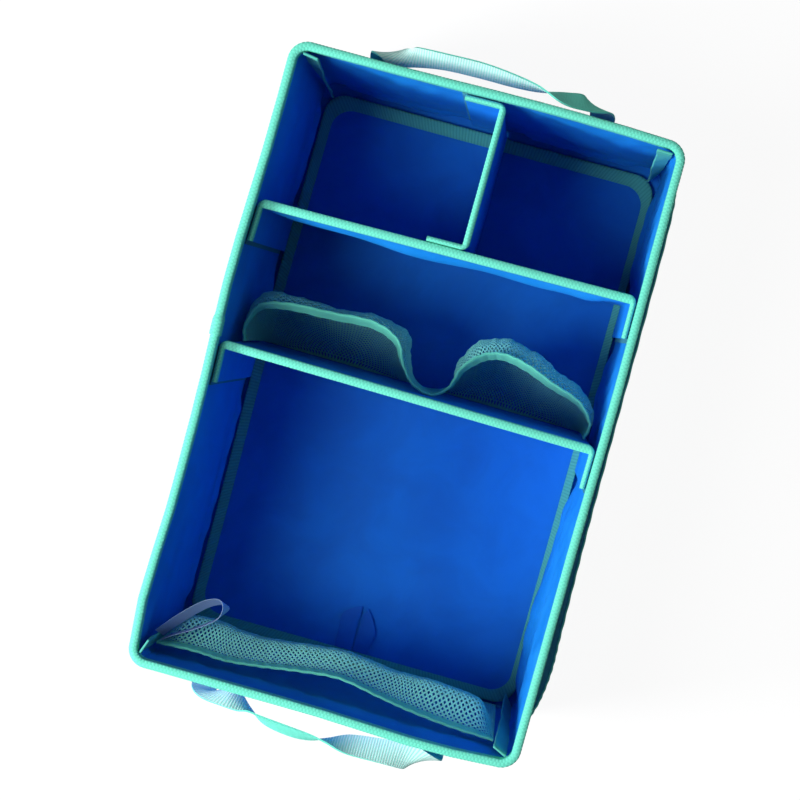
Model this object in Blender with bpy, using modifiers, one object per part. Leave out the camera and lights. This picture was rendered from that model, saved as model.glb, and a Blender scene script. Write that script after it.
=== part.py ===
"""Soft-sided car organiser bag, open at the top.

Four stiffened cloth walls stand on a cloth bottom. A loose bound board lies inside, two cross
dividers and one small divider stand on it, mesh pockets hang on a divider, on the near wall and
outside the right wall, and a webbing handle is sewn to each end wall.

Lengths are metres. X points to the right long side, Y to the far end and Z up, and the origin
is at the centre of the underside.
"""

import math

import bmesh
import bpy
from mathutils import Vector

# Overall size, outside of the covers, and up to the top of the rim binding
BAG_LENGTH = 0.6176
BAG_WIDTH = 0.3876
BAG_HEIGHT = 0.300
CORNER_RADIUS = 0.018

# Thickness of each material, and the gap between pieces that touch
CLOTH = 0.0010
WALL_BOARD = 0.0030
TAPE = 0.0009
MESH_CLOTH = 0.0010
HEM_CLOTH = 0.0008
HOOK_TAPE = 0.0012
LOOP_TAPE = 0.0012
GAP = 0.0003

# Rim binding
RIM_LEG = 0.012
TAPE_HEADROOM = 0.0006
TAPE_CORNER = 0.0010
JOINT_AT = -0.030
JOINT_OVERLAP = 0.014

# Bound seams in the four inner corners
SEAM_WIDTH = 0.016
SEAM_THICKNESS = 0.0026
SEAM_TOP_BELOW_RIM = 0.003
BOARD_END_GAP = 0.001

# Loose board on the floor of the bag
FLOOR_SIDE_CLEARANCE = 0.0062
FLOOR_END_CLEARANCE = 0.0097
FLOOR_CORNER = 0.022
FLOOR_BOARD = 0.0030
FLOOR_CLOTH = 0.0008
FLOOR_BAND = 0.015
FLOOR_BAND_CORNER = 0.020

# Pull tab on the loose board
TAB_THICKNESS = 0.0022
TAB_CENTRE = 0.0015
TAB_WIDTH = 0.040
TAB_LENGTH = 0.050
TAB_SLOT = 0.0012

# Dividers, whose tops stand a little below the rim
DIVIDER_DROP = 0.018
DIVIDER_TOP = BAG_HEIGHT - DIVIDER_DROP
DIVIDER_LEG = 0.012
FLAP_LENGTH = 0.038
FLAP_TURN = 0.006
FLAP_INNER_TURN = 0.0025
CROSS_BOARD = 0.0034
SMALL_BOARD = 0.0012
FAR_DIVIDER_AT = 0.153
NEAR_DIVIDER_AT = 0.008
SMALL_DIVIDER_AT = 0.015
HOOK_MARGIN = 0.003
LOOP_MARGIN = 0.004

# Mesh pockets: how far each hem is below the rim, how far it stands out and what it leans inwards
HEM_HEIGHT = 0.012
HEM_EASE = 0.0002
POCKET_END_CLEARANCE = 0.0122
DIVIDER_POCKET_DROP = 0.095
DIVIDER_POCKET_DEPTH = 0.061
DIVIDER_HEM_LEAN = 0.0070
DIVIDER_POCKET_BELLY = 0.0085
NEAR_POCKET_DROP = 0.057
NEAR_POCKET_SLACK = 0.0235
OUTER_POCKET_DROP = 0.060
OUTER_POCKET_LOW = 0.045
OUTER_POCKET_SLACK = 0.0100
OUTER_POCKET_END = 0.0368
MESH_BAR = 0.0030

# Care label loop, left blank
LABEL_THICKNESS = 0.0008
LABEL_WIDTH = 0.022
LABEL_DROP = 0.082

# Webbing handles
WEBBING_WIDTH = 0.025
WEBBING_THICKNESS = 0.0018

# Heights and insets that follow from the sizes above
WALL_THICKNESS = 2 * CLOTH + WALL_BOARD + 2 * GAP
WALL_LOW = CLOTH + GAP
WALL_TOP = BAG_HEIGHT - TAPE - TAPE_HEADROOM
INNER_WIDTH = BAG_WIDTH - 2 * WALL_THICKNESS
INNER_LENGTH = BAG_LENGTH - 2 * WALL_THICKNESS
FLOOR_STACK = FLOOR_BOARD + 2 * FLOOR_CLOTH + 2 * TAPE + 4 * GAP
FLOOR_LOW = CLOTH + GAP
FLOOR_TOP = FLOOR_LOW + FLOOR_STACK
DIVIDER_LOW = FLOOR_TOP + GAP
STRIP_STACK = LOOP_TAPE + HOOK_TAPE + 3 * GAP

# Each wall: the way it faces, and the way its run is measured, counter-clockwise from above
WALLS = {
    "right": (Vector((1, 0, 0)), Vector((0, 1, 0))),
    "far": (Vector((0, 1, 0)), Vector((-1, 0, 0))),
    "left": (Vector((-1, 0, 0)), Vector((0, -1, 0))),
    "near": (Vector((0, -1, 0)), Vector((1, 0, 0))),
}

# Bows in each wall: where along its run, how wide and how deep
BOWS = {
    "right": ((0.06, 0.12, 0.0015),),
    "far": ((-0.06, 0.10, 0.0025),),
    "left": ((-0.08, 0.09, 0.0042), (0.235, 0.05, 0.0035)),
    "near": ((0.10, 0.07, 0.0035),),
}
BOW_FADE = 0.035
WALL_STEPS = {"right": 13, "far": 8, "left": 13, "near": 8}

# Loose lining: where along the run, how high, how wide, how tall and how far it stands in
LOOSE_LINING = {
    "right": ((-0.185, 0.095, 0.055, 0.06, 0.0055),),
    "far": ((-0.10, 0.12, 0.05, 0.06, 0.0020),),
    "left": ((0.16, 0.12, 0.07, 0.07, 0.0025),),
    "near": ((0.0, 0.255, 0.10, 0.03, 0.0015),),
}
CREASE_DEPTH = 0.0007
CREASE_PITCH = 0.075
CREASE_FADE = 0.030
CREASE_DROP = 0.030
CREASE_TOP = BAG_HEIGHT - CREASE_DROP

FINISHES = {
    "blue cloth": ((0.012, 0.130, 0.560), 0.55, 0.0),
    "mint tape": ((0.180, 0.800, 0.640), 0.75, 0.0),
    "mint webbing": ((0.230, 0.880, 0.760), 0.70, 0.0),
    "teal mesh": ((0.050, 0.360, 0.420), 0.80, 0.0),
    "teal elastic": ((0.120, 0.620, 0.500), 0.65, 0.0),
    "grey board": ((0.300, 0.300, 0.290), 0.80, 0.0),
    "hook tape": ((0.040, 0.160, 0.360), 0.60, 0.0),
    "loop tape": ((0.120, 0.420, 0.420), 0.95, 0.0),
    "blue satin": ((0.420, 0.560, 0.850), 0.40, 0.0),
}


def clear_scene():
    for thing in list(bpy.data.objects):
        bpy.data.objects.remove(thing, do_unlink=True)


def bag_collection():
    collection = bpy.data.collections.new("car_organizer_bag")
    bpy.context.scene.collection.children.link(collection)
    return collection


def own_material(name, finish):
    colour, roughness, metallic = FINISHES[finish]
    material = bpy.data.materials.new(name + "_finish")
    material.use_nodes = True
    shader = material.node_tree.nodes["Principled BSDF"]
    shader.inputs["Base Color"].default_value = (*colour, 1.0)
    shader.inputs["Roughness"].default_value = roughness
    shader.inputs["Metallic"].default_value = metallic
    return material


def add_piece(name, data, finish):
    piece = bpy.data.objects.new(name, data)
    data.materials.append(own_material(name, finish))
    BAG.objects.link(piece)
    return piece


def spread(start, stop, count):
    """Evenly spaced values from start to stop, both included, with count steps."""
    return [start + (stop - start) * step / count for step in range(count + 1)]


def smooth(share):
    """Eases from 0 to 1 as share goes from 0 to 1."""
    share = max(0.0, min(1.0, share))
    return share * share * (3 - 2 * share)


def bump(value, centre, width):
    return math.exp(-(((value - centre) / width) ** 2))


def along_points(points, share):
    """A point on the smooth curve through the given points, for share from 0 to 1."""
    place = min(share * (len(points) - 1), len(points) - 1 - 1e-9)
    index = int(place)
    part = place - index
    before = points[max(index - 1, 0)]
    start = points[index]
    end = points[index + 1]
    after = points[min(index + 2, len(points) - 1)]
    slope_in = (end - before) / 2
    slope_out = (after - start) / 2
    cube = part**3
    square = part**2
    return (
        start * (2 * cube - 3 * square + 1)
        + slope_in * (cube - 2 * square + part)
        + end * (3 * square - 2 * cube)
        + slope_out * (cube - square)
    )


def sheet(name, columns, rows, place, thickness, finish, ring=False, holes=None):
    """A flat grid bent into place and thickened to a closed solid, centred on the sheet."""
    bent = bmesh.new()
    across = len(columns) - 1
    up = len(rows) - 1
    bmesh.ops.create_grid(bent, x_segments=across, y_segments=up, size=1.0)
    open_cells = []
    for face in bent.faces:
        middle = face.calc_center_median()
        cell = (int((middle.x + 1) / 2 * across), int((middle.y + 1) / 2 * up))
        if holes and holes(*cell):
            open_cells.append(face)
    for vert in bent.verts:
        column = round((vert.co.x + 1) / 2 * across)
        row = round((vert.co.y + 1) / 2 * up)
        vert.co = place(columns[column], rows[row])
    if open_cells:
        bent.normal_update()
        bmesh.ops.inset_individual(bent, faces=open_cells, thickness=MESH_BAR)
        bmesh.ops.delete(bent, geom=open_cells, context="FACES")
    if ring:
        bmesh.ops.remove_doubles(bent, verts=bent.verts, dist=0.00001)
    mesh = bpy.data.meshes.new(name)
    bent.to_mesh(mesh)
    bent.free()
    piece = add_piece(name, mesh, finish)
    shell = piece.modifiers.new("thickness", "SOLIDIFY")
    shell.thickness = thickness
    shell.offset = 0
    shell.use_even_offset = True
    mesh.shade_smooth()
    return piece


def plate(name, outline, low, high, finish):
    """A flat outline extruded from one height to another."""
    curve = bpy.data.curves.new(name, "CURVE")
    curve.dimensions = "2D"
    curve.fill_mode = "BOTH"
    curve.extrude = (high - low) / 2
    spline = curve.splines.new("POLY")
    spline.points.add(len(outline) - 1)
    for point, (x, y) in zip(spline.points, outline):
        point.co = (x, y, 0, 1)
    spline.use_cyclic_u = True
    piece = add_piece(name, curve, finish)
    piece.location.z = (low + high) / 2
    return piece


def rounded_outline(half_width, half_length, radius, steps):
    """Corner by corner, counter-clockwise from the right far corner."""
    outline = []
    for turn in range(4):
        side = 1 if turn in (0, 3) else -1
        end = 1 if turn in (0, 1) else -1
        for angle in spread(turn * math.pi / 2, (turn + 1) * math.pi / 2, steps):
            outline.append(
                (
                    side * (half_width - radius) + radius * math.cos(angle),
                    end * (half_length - radius) + radius * math.sin(angle),
                )
            )
    return outline


def tape_profile(half, top, leg):
    """Section of a tape folded over an edge: pairs of distance across and height."""
    outer = [(half, top - leg), (half, top - TAPE_CORNER), (half - TAPE_CORNER, top)]
    return outer + [(-across, height) for across, height in reversed(outer)]


def hem_profile(half, top, leg):
    """Section of a hem turned down on both sides of a mesh's top edge."""
    return [(half, top - leg), (half, top), (-half, top), (-half, top - leg)]


# Walls


def wall_half(wall):
    return BAG_LENGTH / 2 if wall in ("right", "left") else BAG_WIDTH / 2


def wall_distance(wall):
    return BAG_WIDTH / 2 if wall in ("right", "left") else BAG_LENGTH / 2


def wall_straight(wall):
    return wall_half(wall) - CORNER_RADIUS


def wall_reach(wall):
    """Half the run of a wall panel, which ends in the middle of each corner."""
    return wall_straight(wall) + CORNER_RADIUS * math.pi / 4


def rim_bow(wall, run):
    """How far the rim bows outwards: not at the corners."""
    fade = smooth((wall_straight(wall) - abs(run)) / BOW_FADE)
    return fade * sum(depth * bump(run, centre, width) for centre, width, depth in BOWS[wall])


def bow(wall, run, height):
    """How far a wall leans out at a height. It is flat between stations, so all its layers match."""
    straight = wall_straight(wall)
    step = 2 * straight / WALL_STEPS[wall]
    place = (run + straight) / step
    index = max(0, min(WALL_STEPS[wall] - 1, math.floor(place)))
    part = max(0.0, min(1.0, place - index))
    start = rim_bow(wall, index * step - straight)
    end = rim_bow(wall, (index + 1) * step - straight)
    return (start + (end - start) * part) * height / BAG_HEIGHT


def wall_point(wall, run, inset, height):
    """A point at an inset from the outside of the bag, round the corners too."""
    facing, along = WALLS[wall]
    straight = wall_straight(wall)
    flat_run = max(-straight, min(straight, run))
    angle = (run - flat_run) / CORNER_RADIUS
    radius = CORNER_RADIUS - inset
    out = wall_distance(wall) - CORNER_RADIUS + radius * math.cos(angle) + bow(wall, flat_run, height)
    point = facing * out + along * (flat_run + radius * math.sin(angle))
    return Vector((point.x, point.y, height))


def strip_ranges(wall):
    """The stretches of a wall's run where a divider is stuck on."""
    if wall == "far":
        return [(-SMALL_DIVIDER_AT, -SMALL_DIVIDER_AT + FLAP_LENGTH)]
    if wall == "near":
        return []
    facing = WALLS[wall][1].y
    ranges = []
    for place in (FAR_DIVIDER_AT, NEAR_DIVIDER_AT):
        ends = sorted((facing * place, facing * (place - FLAP_LENGTH)))
        ranges.append((ends[0], ends[1]))
    return ranges


def looseness(wall, run, height):
    """How far the lining stands in from its board: not at the seams, nor under a divider's flap."""
    calm = smooth((wall_straight(wall) - abs(run)) / CREASE_FADE)
    calm *= smooth((height - WALL_LOW) / CREASE_FADE)
    calm *= smooth((CREASE_TOP - height) / CREASE_FADE)
    for start, stop in strip_ranges(wall):
        outside = max(start - run, run - stop) - 2 * LOOP_MARGIN
        calm *= smooth(outside / CREASE_FADE)
    crease = CREASE_DEPTH * (1 + math.sin(2 * math.pi * (run + 0.25 * height) / CREASE_PITCH))
    sag = sum(
        depth * bump(run, centre, width) * bump(height, level, tall)
        for centre, level, width, tall, depth in LOOSE_LINING[wall]
    )
    return calm * (crease + sag)


def lining_face(wall, run, height):
    """Distance of the lining's inner face from the middle of the bag."""
    return wall_distance(wall) - WALL_THICKNESS + bow(wall, run, height) - looseness(wall, run, height)


def panel_runs(wall, steps):
    """Stations along a wall panel: round half a corner, straight on, and half a corner more."""
    straight = wall_straight(wall)
    end = wall_reach(wall) - GAP / 2
    corner = spread(straight, end, 3)[1:]
    return [-run for run in reversed(corner)] + spread(-straight, straight, steps) + corner


def board_runs(wall):
    """Stations along a wall's board, which stops short of the corners."""
    straight = wall_straight(wall)
    end = straight - BOARD_END_GAP
    return [-end] + spread(-straight, straight, WALL_STEPS[wall])[1:-1] + [end]


def make_walls():
    for wall in WALLS:
        steps = WALL_STEPS[wall]
        heights = spread(WALL_LOW, WALL_TOP, 4)
        sheet(
            f"cover_{wall}",
            panel_runs(wall, steps),
            heights,
            lambda run, height, wall=wall: wall_point(wall, run, CLOTH / 2, height),
            CLOTH,
            "blue cloth",
        )
        sheet(
            f"wall_board_{wall}",
            board_runs(wall),
            heights,
            lambda run, height, wall=wall: wall_point(wall, run, CLOTH + GAP + WALL_BOARD / 2, height),
            WALL_BOARD,
            "grey board",
        )
        sheet(
            f"lining_{wall}",
            panel_runs(wall, 2 * steps),
            spread(WALL_LOW, CREASE_TOP, 4) + [WALL_TOP],
            lambda run, height, wall=wall: wall_point(
                wall, run, WALL_THICKNESS - CLOTH / 2 + looseness(wall, run, height), height
            ),
            CLOTH,
            "blue cloth",
        )


def make_bottom():
    outline = rounded_outline(BAG_WIDTH / 2, BAG_LENGTH / 2, CORNER_RADIUS, 6)
    plate("bottom_panel", outline, 0.0, CLOTH, "blue cloth")


def rim_stations():
    """Once round the rim from the joint, as wall, run and lift over the tape below."""
    lift = TAPE + GAP
    left = spread(-wall_straight("left"), wall_straight("left"), WALL_STEPS["left"])
    stations = [("left", JOINT_AT, 0.0)]
    stations += [("left", run, 0.0) for run in left if run > JOINT_AT + JOINT_OVERLAP]
    for wall in ("near", "right", "far"):
        steps = WALL_STEPS[wall]
        corner = spread(wall_straight(wall), wall_reach(wall), 3)[1:]
        runs = [-run for run in reversed(corner)] + spread(-wall_straight(wall), wall_straight(wall), steps)
        if wall == "near":
            left_corner = spread(wall_straight("left"), wall_reach("left"), 3)[1:3]
            stations += [("left", run, 0.0) for run in left_corner]
        stations += [(wall, run, 0.0) for run in runs] + [(wall, run, 0.0) for run in corner[:2]]
    last = spread(wall_straight("left"), wall_reach("left"), 3)[1:]
    stations += [("left", -run, 0.0) for run in reversed(last)]
    stations += [("left", run, 0.0) for run in left if run < JOINT_AT - JOINT_OVERLAP]
    stations += [("left", JOINT_AT - 0.008, 0.0), ("left", JOINT_AT - 0.0015, lift)]
    stations += [("left", JOINT_AT + JOINT_OVERLAP, lift)]
    return stations


def make_rim_binding():
    half = WALL_THICKNESS / 2 + GAP + TAPE / 2
    profile = tape_profile(half, BAG_HEIGHT - TAPE / 2, RIM_LEG)

    def place(station, section):
        wall, run, lift = station
        across, height = section
        side = 1 if across > 0 else -1
        raised = height + (lift if abs(across) < half else 0)
        return wall_point(wall, run, WALL_THICKNESS / 2 - across - side * lift, raised)

    sheet("rim_binding", rim_stations(), profile, place, TAPE, "mint tape")


# Bound seams in the inner corners: each leans one way at the top and another lower down

SEAMS = {
    "far_left": (-1, 1, math.radians(16)),
    "far_right": (1, 1, math.radians(14)),
    "near_right": (1, -1, math.radians(20)),
    "near_left": (-1, -1, math.radians(74)),
}
SEAM_LOW_LEAN = math.radians(52)


def seam_point(corner, across, height):
    side, end, top_lean = SEAMS[corner]
    share = (height / BAG_HEIGHT) ** 1.5
    lean = SEAM_LOW_LEAN + (top_lean - SEAM_LOW_LEAN) * share
    middle = Vector((side * (BAG_WIDTH / 2 - CORNER_RADIUS), end * (BAG_LENGTH / 2 - CORNER_RADIUS), 0))
    turned = SEAM_THICKNESS / 2 * math.sin(abs(lean - math.pi / 4))
    under_rim = (GAP + TAPE) * smooth((height - (WALL_TOP - 2 * RIM_LEG)) / (0.8 * RIM_LEG))
    radius = CORNER_RADIUS - WALL_THICKNESS - 1.5 * GAP - turned - under_rim
    root = middle + Vector((side, end, 0)) * (radius * math.sqrt(0.5))
    inward = Vector((-side * math.cos(lean), -end * math.sin(lean), 0))
    wave = 0.0006 * math.sin(38 * height + across * 120)
    point = root + inward * across + Vector((inward.y, -inward.x, 0)) * wave
    return Vector((point.x, point.y, height))


def make_corner_seams():
    for corner in SEAMS:
        sheet(
            f"corner_binding_{corner}",
            spread(SEAM_THICKNESS / 4, SEAM_WIDTH, 3),
            spread(FLOOR_TOP + 10 * GAP, BAG_HEIGHT - SEAM_TOP_BELOW_RIM, 7),
            lambda across, height, corner=corner: seam_point(corner, across, height),
            SEAM_THICKNESS,
            "mint tape",
        )


# Loose board on the floor

FLOOR_HALF_WIDTH = INNER_WIDTH / 2 - FLOOR_SIDE_CLEARANCE
FLOOR_HALF_LENGTH = INNER_LENGTH / 2 - FLOOR_END_CLEARANCE


def make_floor_board():
    low = FLOOR_LOW + TAPE + GAP
    edge = TAPE + TAPE_CORNER + GAP
    outline = rounded_outline(FLOOR_HALF_WIDTH - edge, FLOOR_HALF_LENGTH - edge, FLOOR_CORNER, 5)
    board_low = low + FLOOR_CLOTH + GAP
    top_low = board_low + FLOOR_BOARD + GAP
    plate("floor_board_lower_cloth", outline, low, low + FLOOR_CLOTH, "blue cloth")
    plate("floor_board_core", outline, board_low, board_low + FLOOR_BOARD, "grey board")
    plate("floor_board_upper_cloth", outline, top_low, top_low + FLOOR_CLOTH, "blue cloth")

    half = FLOOR_STACK / 2 - TAPE / 2
    middle = FLOOR_LOW + FLOOR_STACK / 2
    profile = tape_profile(half, -TAPE / 2, FLOOR_BAND - TAPE / 2)
    corners = rounded_outline(1.0, 2.0, 0.5, 5)

    def place(index, section):
        across, inset = section
        share = -inset / FLOOR_BAND
        radius = FLOOR_CORNER + (FLOOR_BAND_CORNER - FLOOR_CORNER) * share
        ring = rounded_outline(FLOOR_HALF_WIDTH + inset, FLOOR_HALF_LENGTH + inset, radius, 5)
        x, y = ring[index % len(ring)]
        return Vector((x, y, middle + across))

    stations = list(range(len(corners) + 1))
    sheet("floor_board_binding", stations, profile, place, TAPE, "mint tape", ring=True)


def make_pull_tab():
    root = -(FLOOR_HALF_LENGTH - FLOOR_BAND) + GAP
    half = TAB_WIDTH / 2
    slot = TAB_SLOT / 2
    low = FLOOR_TOP - TAPE
    outline = [
        (TAB_CENTRE - half + 0.002, root),
        (TAB_CENTRE - slot, root),
        (TAB_CENTRE - slot, root + 0.66 * TAB_LENGTH),
        (TAB_CENTRE + slot, root + 0.66 * TAB_LENGTH),
        (TAB_CENTRE + slot, root),
        (TAB_CENTRE + half - 0.004, root),
        (TAB_CENTRE + half, root + 0.50 * TAB_LENGTH),
        (TAB_CENTRE + 0.35 * half, root + 0.96 * TAB_LENGTH),
        (TAB_CENTRE - 0.10 * half, root + TAB_LENGTH),
        (TAB_CENTRE - half, root + 0.74 * TAB_LENGTH),
    ]
    plate("pull_tab", outline, low, low + TAB_THICKNESS, "blue cloth")


# Dividers: a board between two cloth faces, whose ends run on together as flaps. Distances are
# p along the divider and q towards the side that its flaps turn to.

DIVIDERS = {
    "far_divider": {"at": FAR_DIVIDER_AT, "skew": 0.012, "board": CROSS_BOARD, "billow": 0.0030},
    "near_divider": {"at": NEAR_DIVIDER_AT, "skew": -0.012, "board": CROSS_BOARD, "billow": 0.0},
    "small_divider": {"at": SMALL_DIVIDER_AT, "skew": 0.0, "board": SMALL_BOARD, "billow": 0.0},
}


def cloth_offset(divider):
    """From the middle of a divider to the middle of its cloth."""
    return DIVIDERS[divider]["board"] / 2 + GAP + CLOTH / 2


def cross_line(divider, p):
    """Y of a cross divider's middle at a distance p across the bag."""
    return DIVIDERS[divider]["at"] + DIVIDERS[divider]["skew"] * p


def end_face(divider, end, q, height):
    """The p of the surface that a divider's end is stuck to."""
    if divider == "small_divider":
        x = SMALL_DIVIDER_AT - q
        if end > 0:
            return lining_face("far", -x, height)
        return cross_line("far_divider", x) + cloth_offset("far_divider") + CLOTH / 2
    y = cross_line(divider, end * INNER_WIDTH / 2) - q
    if end > 0:
        return lining_face("right", y, height)
    return -lining_face("left", -y, height)


def divider_to_bag(divider, p, q, height):
    if divider == "small_divider":
        return Vector((SMALL_DIVIDER_AT - q, p, height))
    return Vector((p, cross_line(divider, p) - q, height))


def divider_stations(steps):
    """Places along a divider's cloth: flap, turn, span, turn and flap, each with its share."""
    turn = spread(0, 1, 3)
    stations = [("flap", -1, 0.0), ("flap", -1, 0.5)]
    stations += [("turn", -1, share) for share in turn]
    stations += [("span", 0, share) for share in spread(0, 1, steps)[1:-1]]
    stations += [("turn", 1, share) for share in reversed(turn)]
    stations += [("flap", 1, 0.5), ("flap", 1, 0.0)]
    return stations


def divider_line(divider, layer, station, height):
    """A point on one layer of a divider: its q, its distance off the walls and its turn's radius."""
    q_flat, off_wall, radius = layer
    kind, end, share = station
    turn_q = q_flat + radius

    def turn_start(side):
        return end_face(divider, side, turn_q, height) - side * (off_wall + radius)

    if kind == "flap":
        q = FLAP_LENGTH + (turn_q - FLAP_LENGTH) * share
        return divider_to_bag(divider, end_face(divider, end, q, height) - end * off_wall, q, height)
    if kind == "turn":
        angle = share * math.pi / 2
        p = turn_start(end) + end * radius * math.cos(angle)
        return divider_to_bag(divider, p, turn_q - radius * math.sin(angle), height)
    p = turn_start(-1) + (turn_start(1) - turn_start(-1)) * share
    fade = math.sin(math.pi * share) ** 0.5
    ripple = 0.65 + 0.35 * math.sin(17 * share + 0.6)
    swell = DIVIDERS[divider]["billow"] * fade * ripple * bump(height, DIVIDER_TOP - 0.038, 0.012)
    return divider_to_bag(divider, p, q_flat + (swell if q_flat > 0 else 0), height)


def outer_layer(divider, outwards):
    q = cloth_offset(divider) + outwards
    return (-q, STRIP_STACK + CLOTH / 2 - outwards, FLAP_TURN + outwards)


def inner_layer(divider, inwards):
    q = cloth_offset(divider) + inwards
    off_wall = STRIP_STACK + CLOTH + GAP + CLOTH / 2 + inwards
    return (q, off_wall, FLAP_INNER_TURN - inwards)


def make_divider_cloth(divider, layer_name, layer, stations):
    cloth_top = DIVIDER_TOP - TAPE - TAPE_HEADROOM
    levels = (0.0, 1.0)
    if layer_name == "inner" and DIVIDERS[divider]["billow"]:
        levels = (0.0, 0.78, 0.84, 0.88, 0.92, 0.958, 1.0)
    heights = [DIVIDER_LOW + (cloth_top - DIVIDER_LOW) * level for level in levels]
    sheet(
        f"{divider}_{layer_name}_cloth",
        stations,
        heights,
        lambda station, height: divider_line(divider, layer, station, height),
        CLOTH,
        "blue cloth",
    )


def make_divider_board(divider):
    board = DIVIDERS[divider]["board"]
    turn = outer_layer(divider, 0.0)
    top = DIVIDER_TOP - TAPE - TAPE_HEADROOM

    def place(side, height):
        face = end_face(divider, side, 0.0, height)
        reach = turn[1] + turn[2] + GAP
        return divider_to_bag(divider, face - side * reach, 0.0, height)

    sheet(f"{divider}_board", [-1, 1], spread(DIVIDER_LOW, top, 1), place, board, "grey board")


def make_divider_binding(divider, stations):
    clear = CLOTH / 2 + GAP + TAPE / 2
    outer = outer_layer(divider, clear)
    inner = inner_layer(divider, clear)
    sections = tape_profile(1.0, 0.0, DIVIDER_LEG)

    def place(station, section):
        index = sections.index(section)
        height = DIVIDER_TOP - TAPE / 2
        outside = divider_line(divider, outer, station, height)
        inside = divider_line(divider, inner, station, height)
        half = (outside - inside).length / 2
        across, up = tape_profile(half, height, DIVIDER_LEG)[index]
        middle = (outside + inside) / 2
        point = middle + (outside - middle).normalized() * across
        return Vector((point.x, point.y, up))

    sheet(f"{divider}_binding", stations, sections, place, TAPE, "mint tape")


def make_strip(name, divider, end, off_face, thickness, q_range, high, finish):
    side = -1 if end == 0 else 1

    def place(q, height):
        p = end_face(divider, side, q, height) - side * off_face
        return divider_to_bag(divider, p, q, height)

    heights = spread(DIVIDER_LOW + HOOK_MARGIN, high, 2)
    sheet(name, spread(*q_range, 3), heights, place, thickness, finish)


def make_divider(divider, steps):
    stations = divider_stations(steps)
    make_divider_board(divider)
    make_divider_cloth(divider, "outer", outer_layer(divider, 0.0), stations)
    make_divider_cloth(divider, "inner", inner_layer(divider, 0.0), stations)
    make_divider_binding(divider, stations)
    ends = ("near", "far") if divider == "small_divider" else ("left", "right")
    turn_end = FLAP_TURN - cloth_offset(divider)
    hook_high = DIVIDER_TOP - TAPE - DIVIDER_LEG - GAP
    for index, end_name in enumerate(ends):
        make_strip(
            f"{divider}_hook_{end_name}",
            divider,
            index,
            GAP + LOOP_TAPE + GAP + HOOK_TAPE / 2,
            HOOK_TAPE,
            (turn_end + HOOK_MARGIN, FLAP_LENGTH - HOOK_MARGIN),
            hook_high,
            "hook tape",
        )
        make_strip(
            f"{divider}_loop_{end_name}",
            divider,
            index,
            GAP + LOOP_TAPE / 2,
            LOOP_TAPE,
            (turn_end, FLAP_LENGTH + LOOP_MARGIN),
            hook_high if end_name == "near" else hook_high + RIM_LEG / 2,
            "loop tape",
        )


# Mesh pockets: each hangs between a sewn line low on its wall and an elastic hem. Along a pocket,
# places are shares of its half width, and a hem's distances are shares of its depth.


def pocket_fullness(share, belly):
    """How far out a pocket stands at a share of its height, against 1 at the hem."""
    return math.sqrt(share) * (1 - belly * 0.2) + belly * (4 * share * (1 - share) * 0.45 + 0.2 * share)


def pocket_outwards(pocket, share):
    """The level direction straight out from a pocket's hem."""
    step = 4e-3
    ahead = along_points(pocket["hem"], min(1.0, share + step))
    behind = along_points(pocket["hem"], max(0.0, share - step))
    heading = ahead - behind
    return Vector((-heading.y, heading.x, 0)).normalized()


def pocket_point(pocket, share, height):
    """A point on a pocket's mesh. The z of its hem points says how full the pocket is there."""
    low, high = pocket["low"], pocket["high"]
    level = (height - low) / (high - low)
    foot = along_points(pocket["foot"], share)
    hem = along_points(pocket["hem"], share)
    place = foot + (hem - foot) * pocket_fullness(level, pocket["belly"])
    below_hem = (high - height) / HEM_HEIGHT
    leaning = max(0.0, 1 - abs(below_hem - 1)) * pocket["lean"]
    swelling = bump(below_hem, 3.4, 1.5) * pocket["swell"](share)
    shift = (swelling - leaning) * smooth(hem.z)
    place += pocket_outwards(pocket, share) * shift
    return Vector((place.x, place.y, height))


def make_pocket(pocket):
    low, high = pocket["low"], pocket["high"]
    mesh_top = high - HEM_CLOTH - TAPE_HEADROOM
    heights = [low + (mesh_top - low) * level for level in pocket["levels"]]
    heights += [high - 1.8 * HEM_HEIGHT] if pocket["lean"] else []
    heights += [high - HEM_HEIGHT, mesh_top]
    shares = spread(0, 1, pocket["steps"])
    sheet(
        f"{pocket['name']}_mesh",
        shares,
        heights,
        lambda share, height: pocket_point(pocket, share, height),
        MESH_CLOTH,
        "teal mesh",
        holes=pocket["holes"],
    )
    leaning = math.atan2(pocket["lean"], HEM_HEIGHT)
    half = (MESH_CLOTH / 2 + GAP + HEM_CLOTH / 2) / math.cos(leaning) + HEM_EASE
    profile = hem_profile(half, high - HEM_CLOTH / 2, HEM_HEIGHT - HEM_CLOTH / 2)

    def place(share, section):
        across, height = section
        point = pocket_point(pocket, share, height)
        step = 1e-3
        ahead = pocket_point(pocket, min(1.0, share + step), height)
        behind = pocket_point(pocket, max(0.0, share - step), height)
        heading = (ahead - behind).normalized()
        return point + Vector((heading.y, -heading.x, 0)) * across

    sheet(f"{pocket['name']}_hem", shares, profile, place, HEM_CLOTH, "teal elastic")


DIVIDER_HEM = [
    (-1.000, 0.000),
    (-1.020, 0.295),
    (-0.966, 0.672),
    (-0.807, 0.820),
    (-0.574, 0.869),
    (-0.318, 0.918),
    (-0.159, 0.738),
    (-0.097, 0.393),
    (-0.017, 0.115),
    (0.102, 0.000),
    (0.188, 0.230),
    (0.227, 0.590),
    (0.318, 0.885),
    (0.438, 1.000),
    (0.591, 0.934),
    (0.756, 0.754),
    (0.920, 0.590),
    (1.011, 0.295),
    (1.000, 0.000),
]
DIVIDER_HOLE_COLUMNS = (3, 4, 5, 6, 7, 8, 9, 23, 24, 25, 26, 27, 28, 29, 30, 31)


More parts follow.
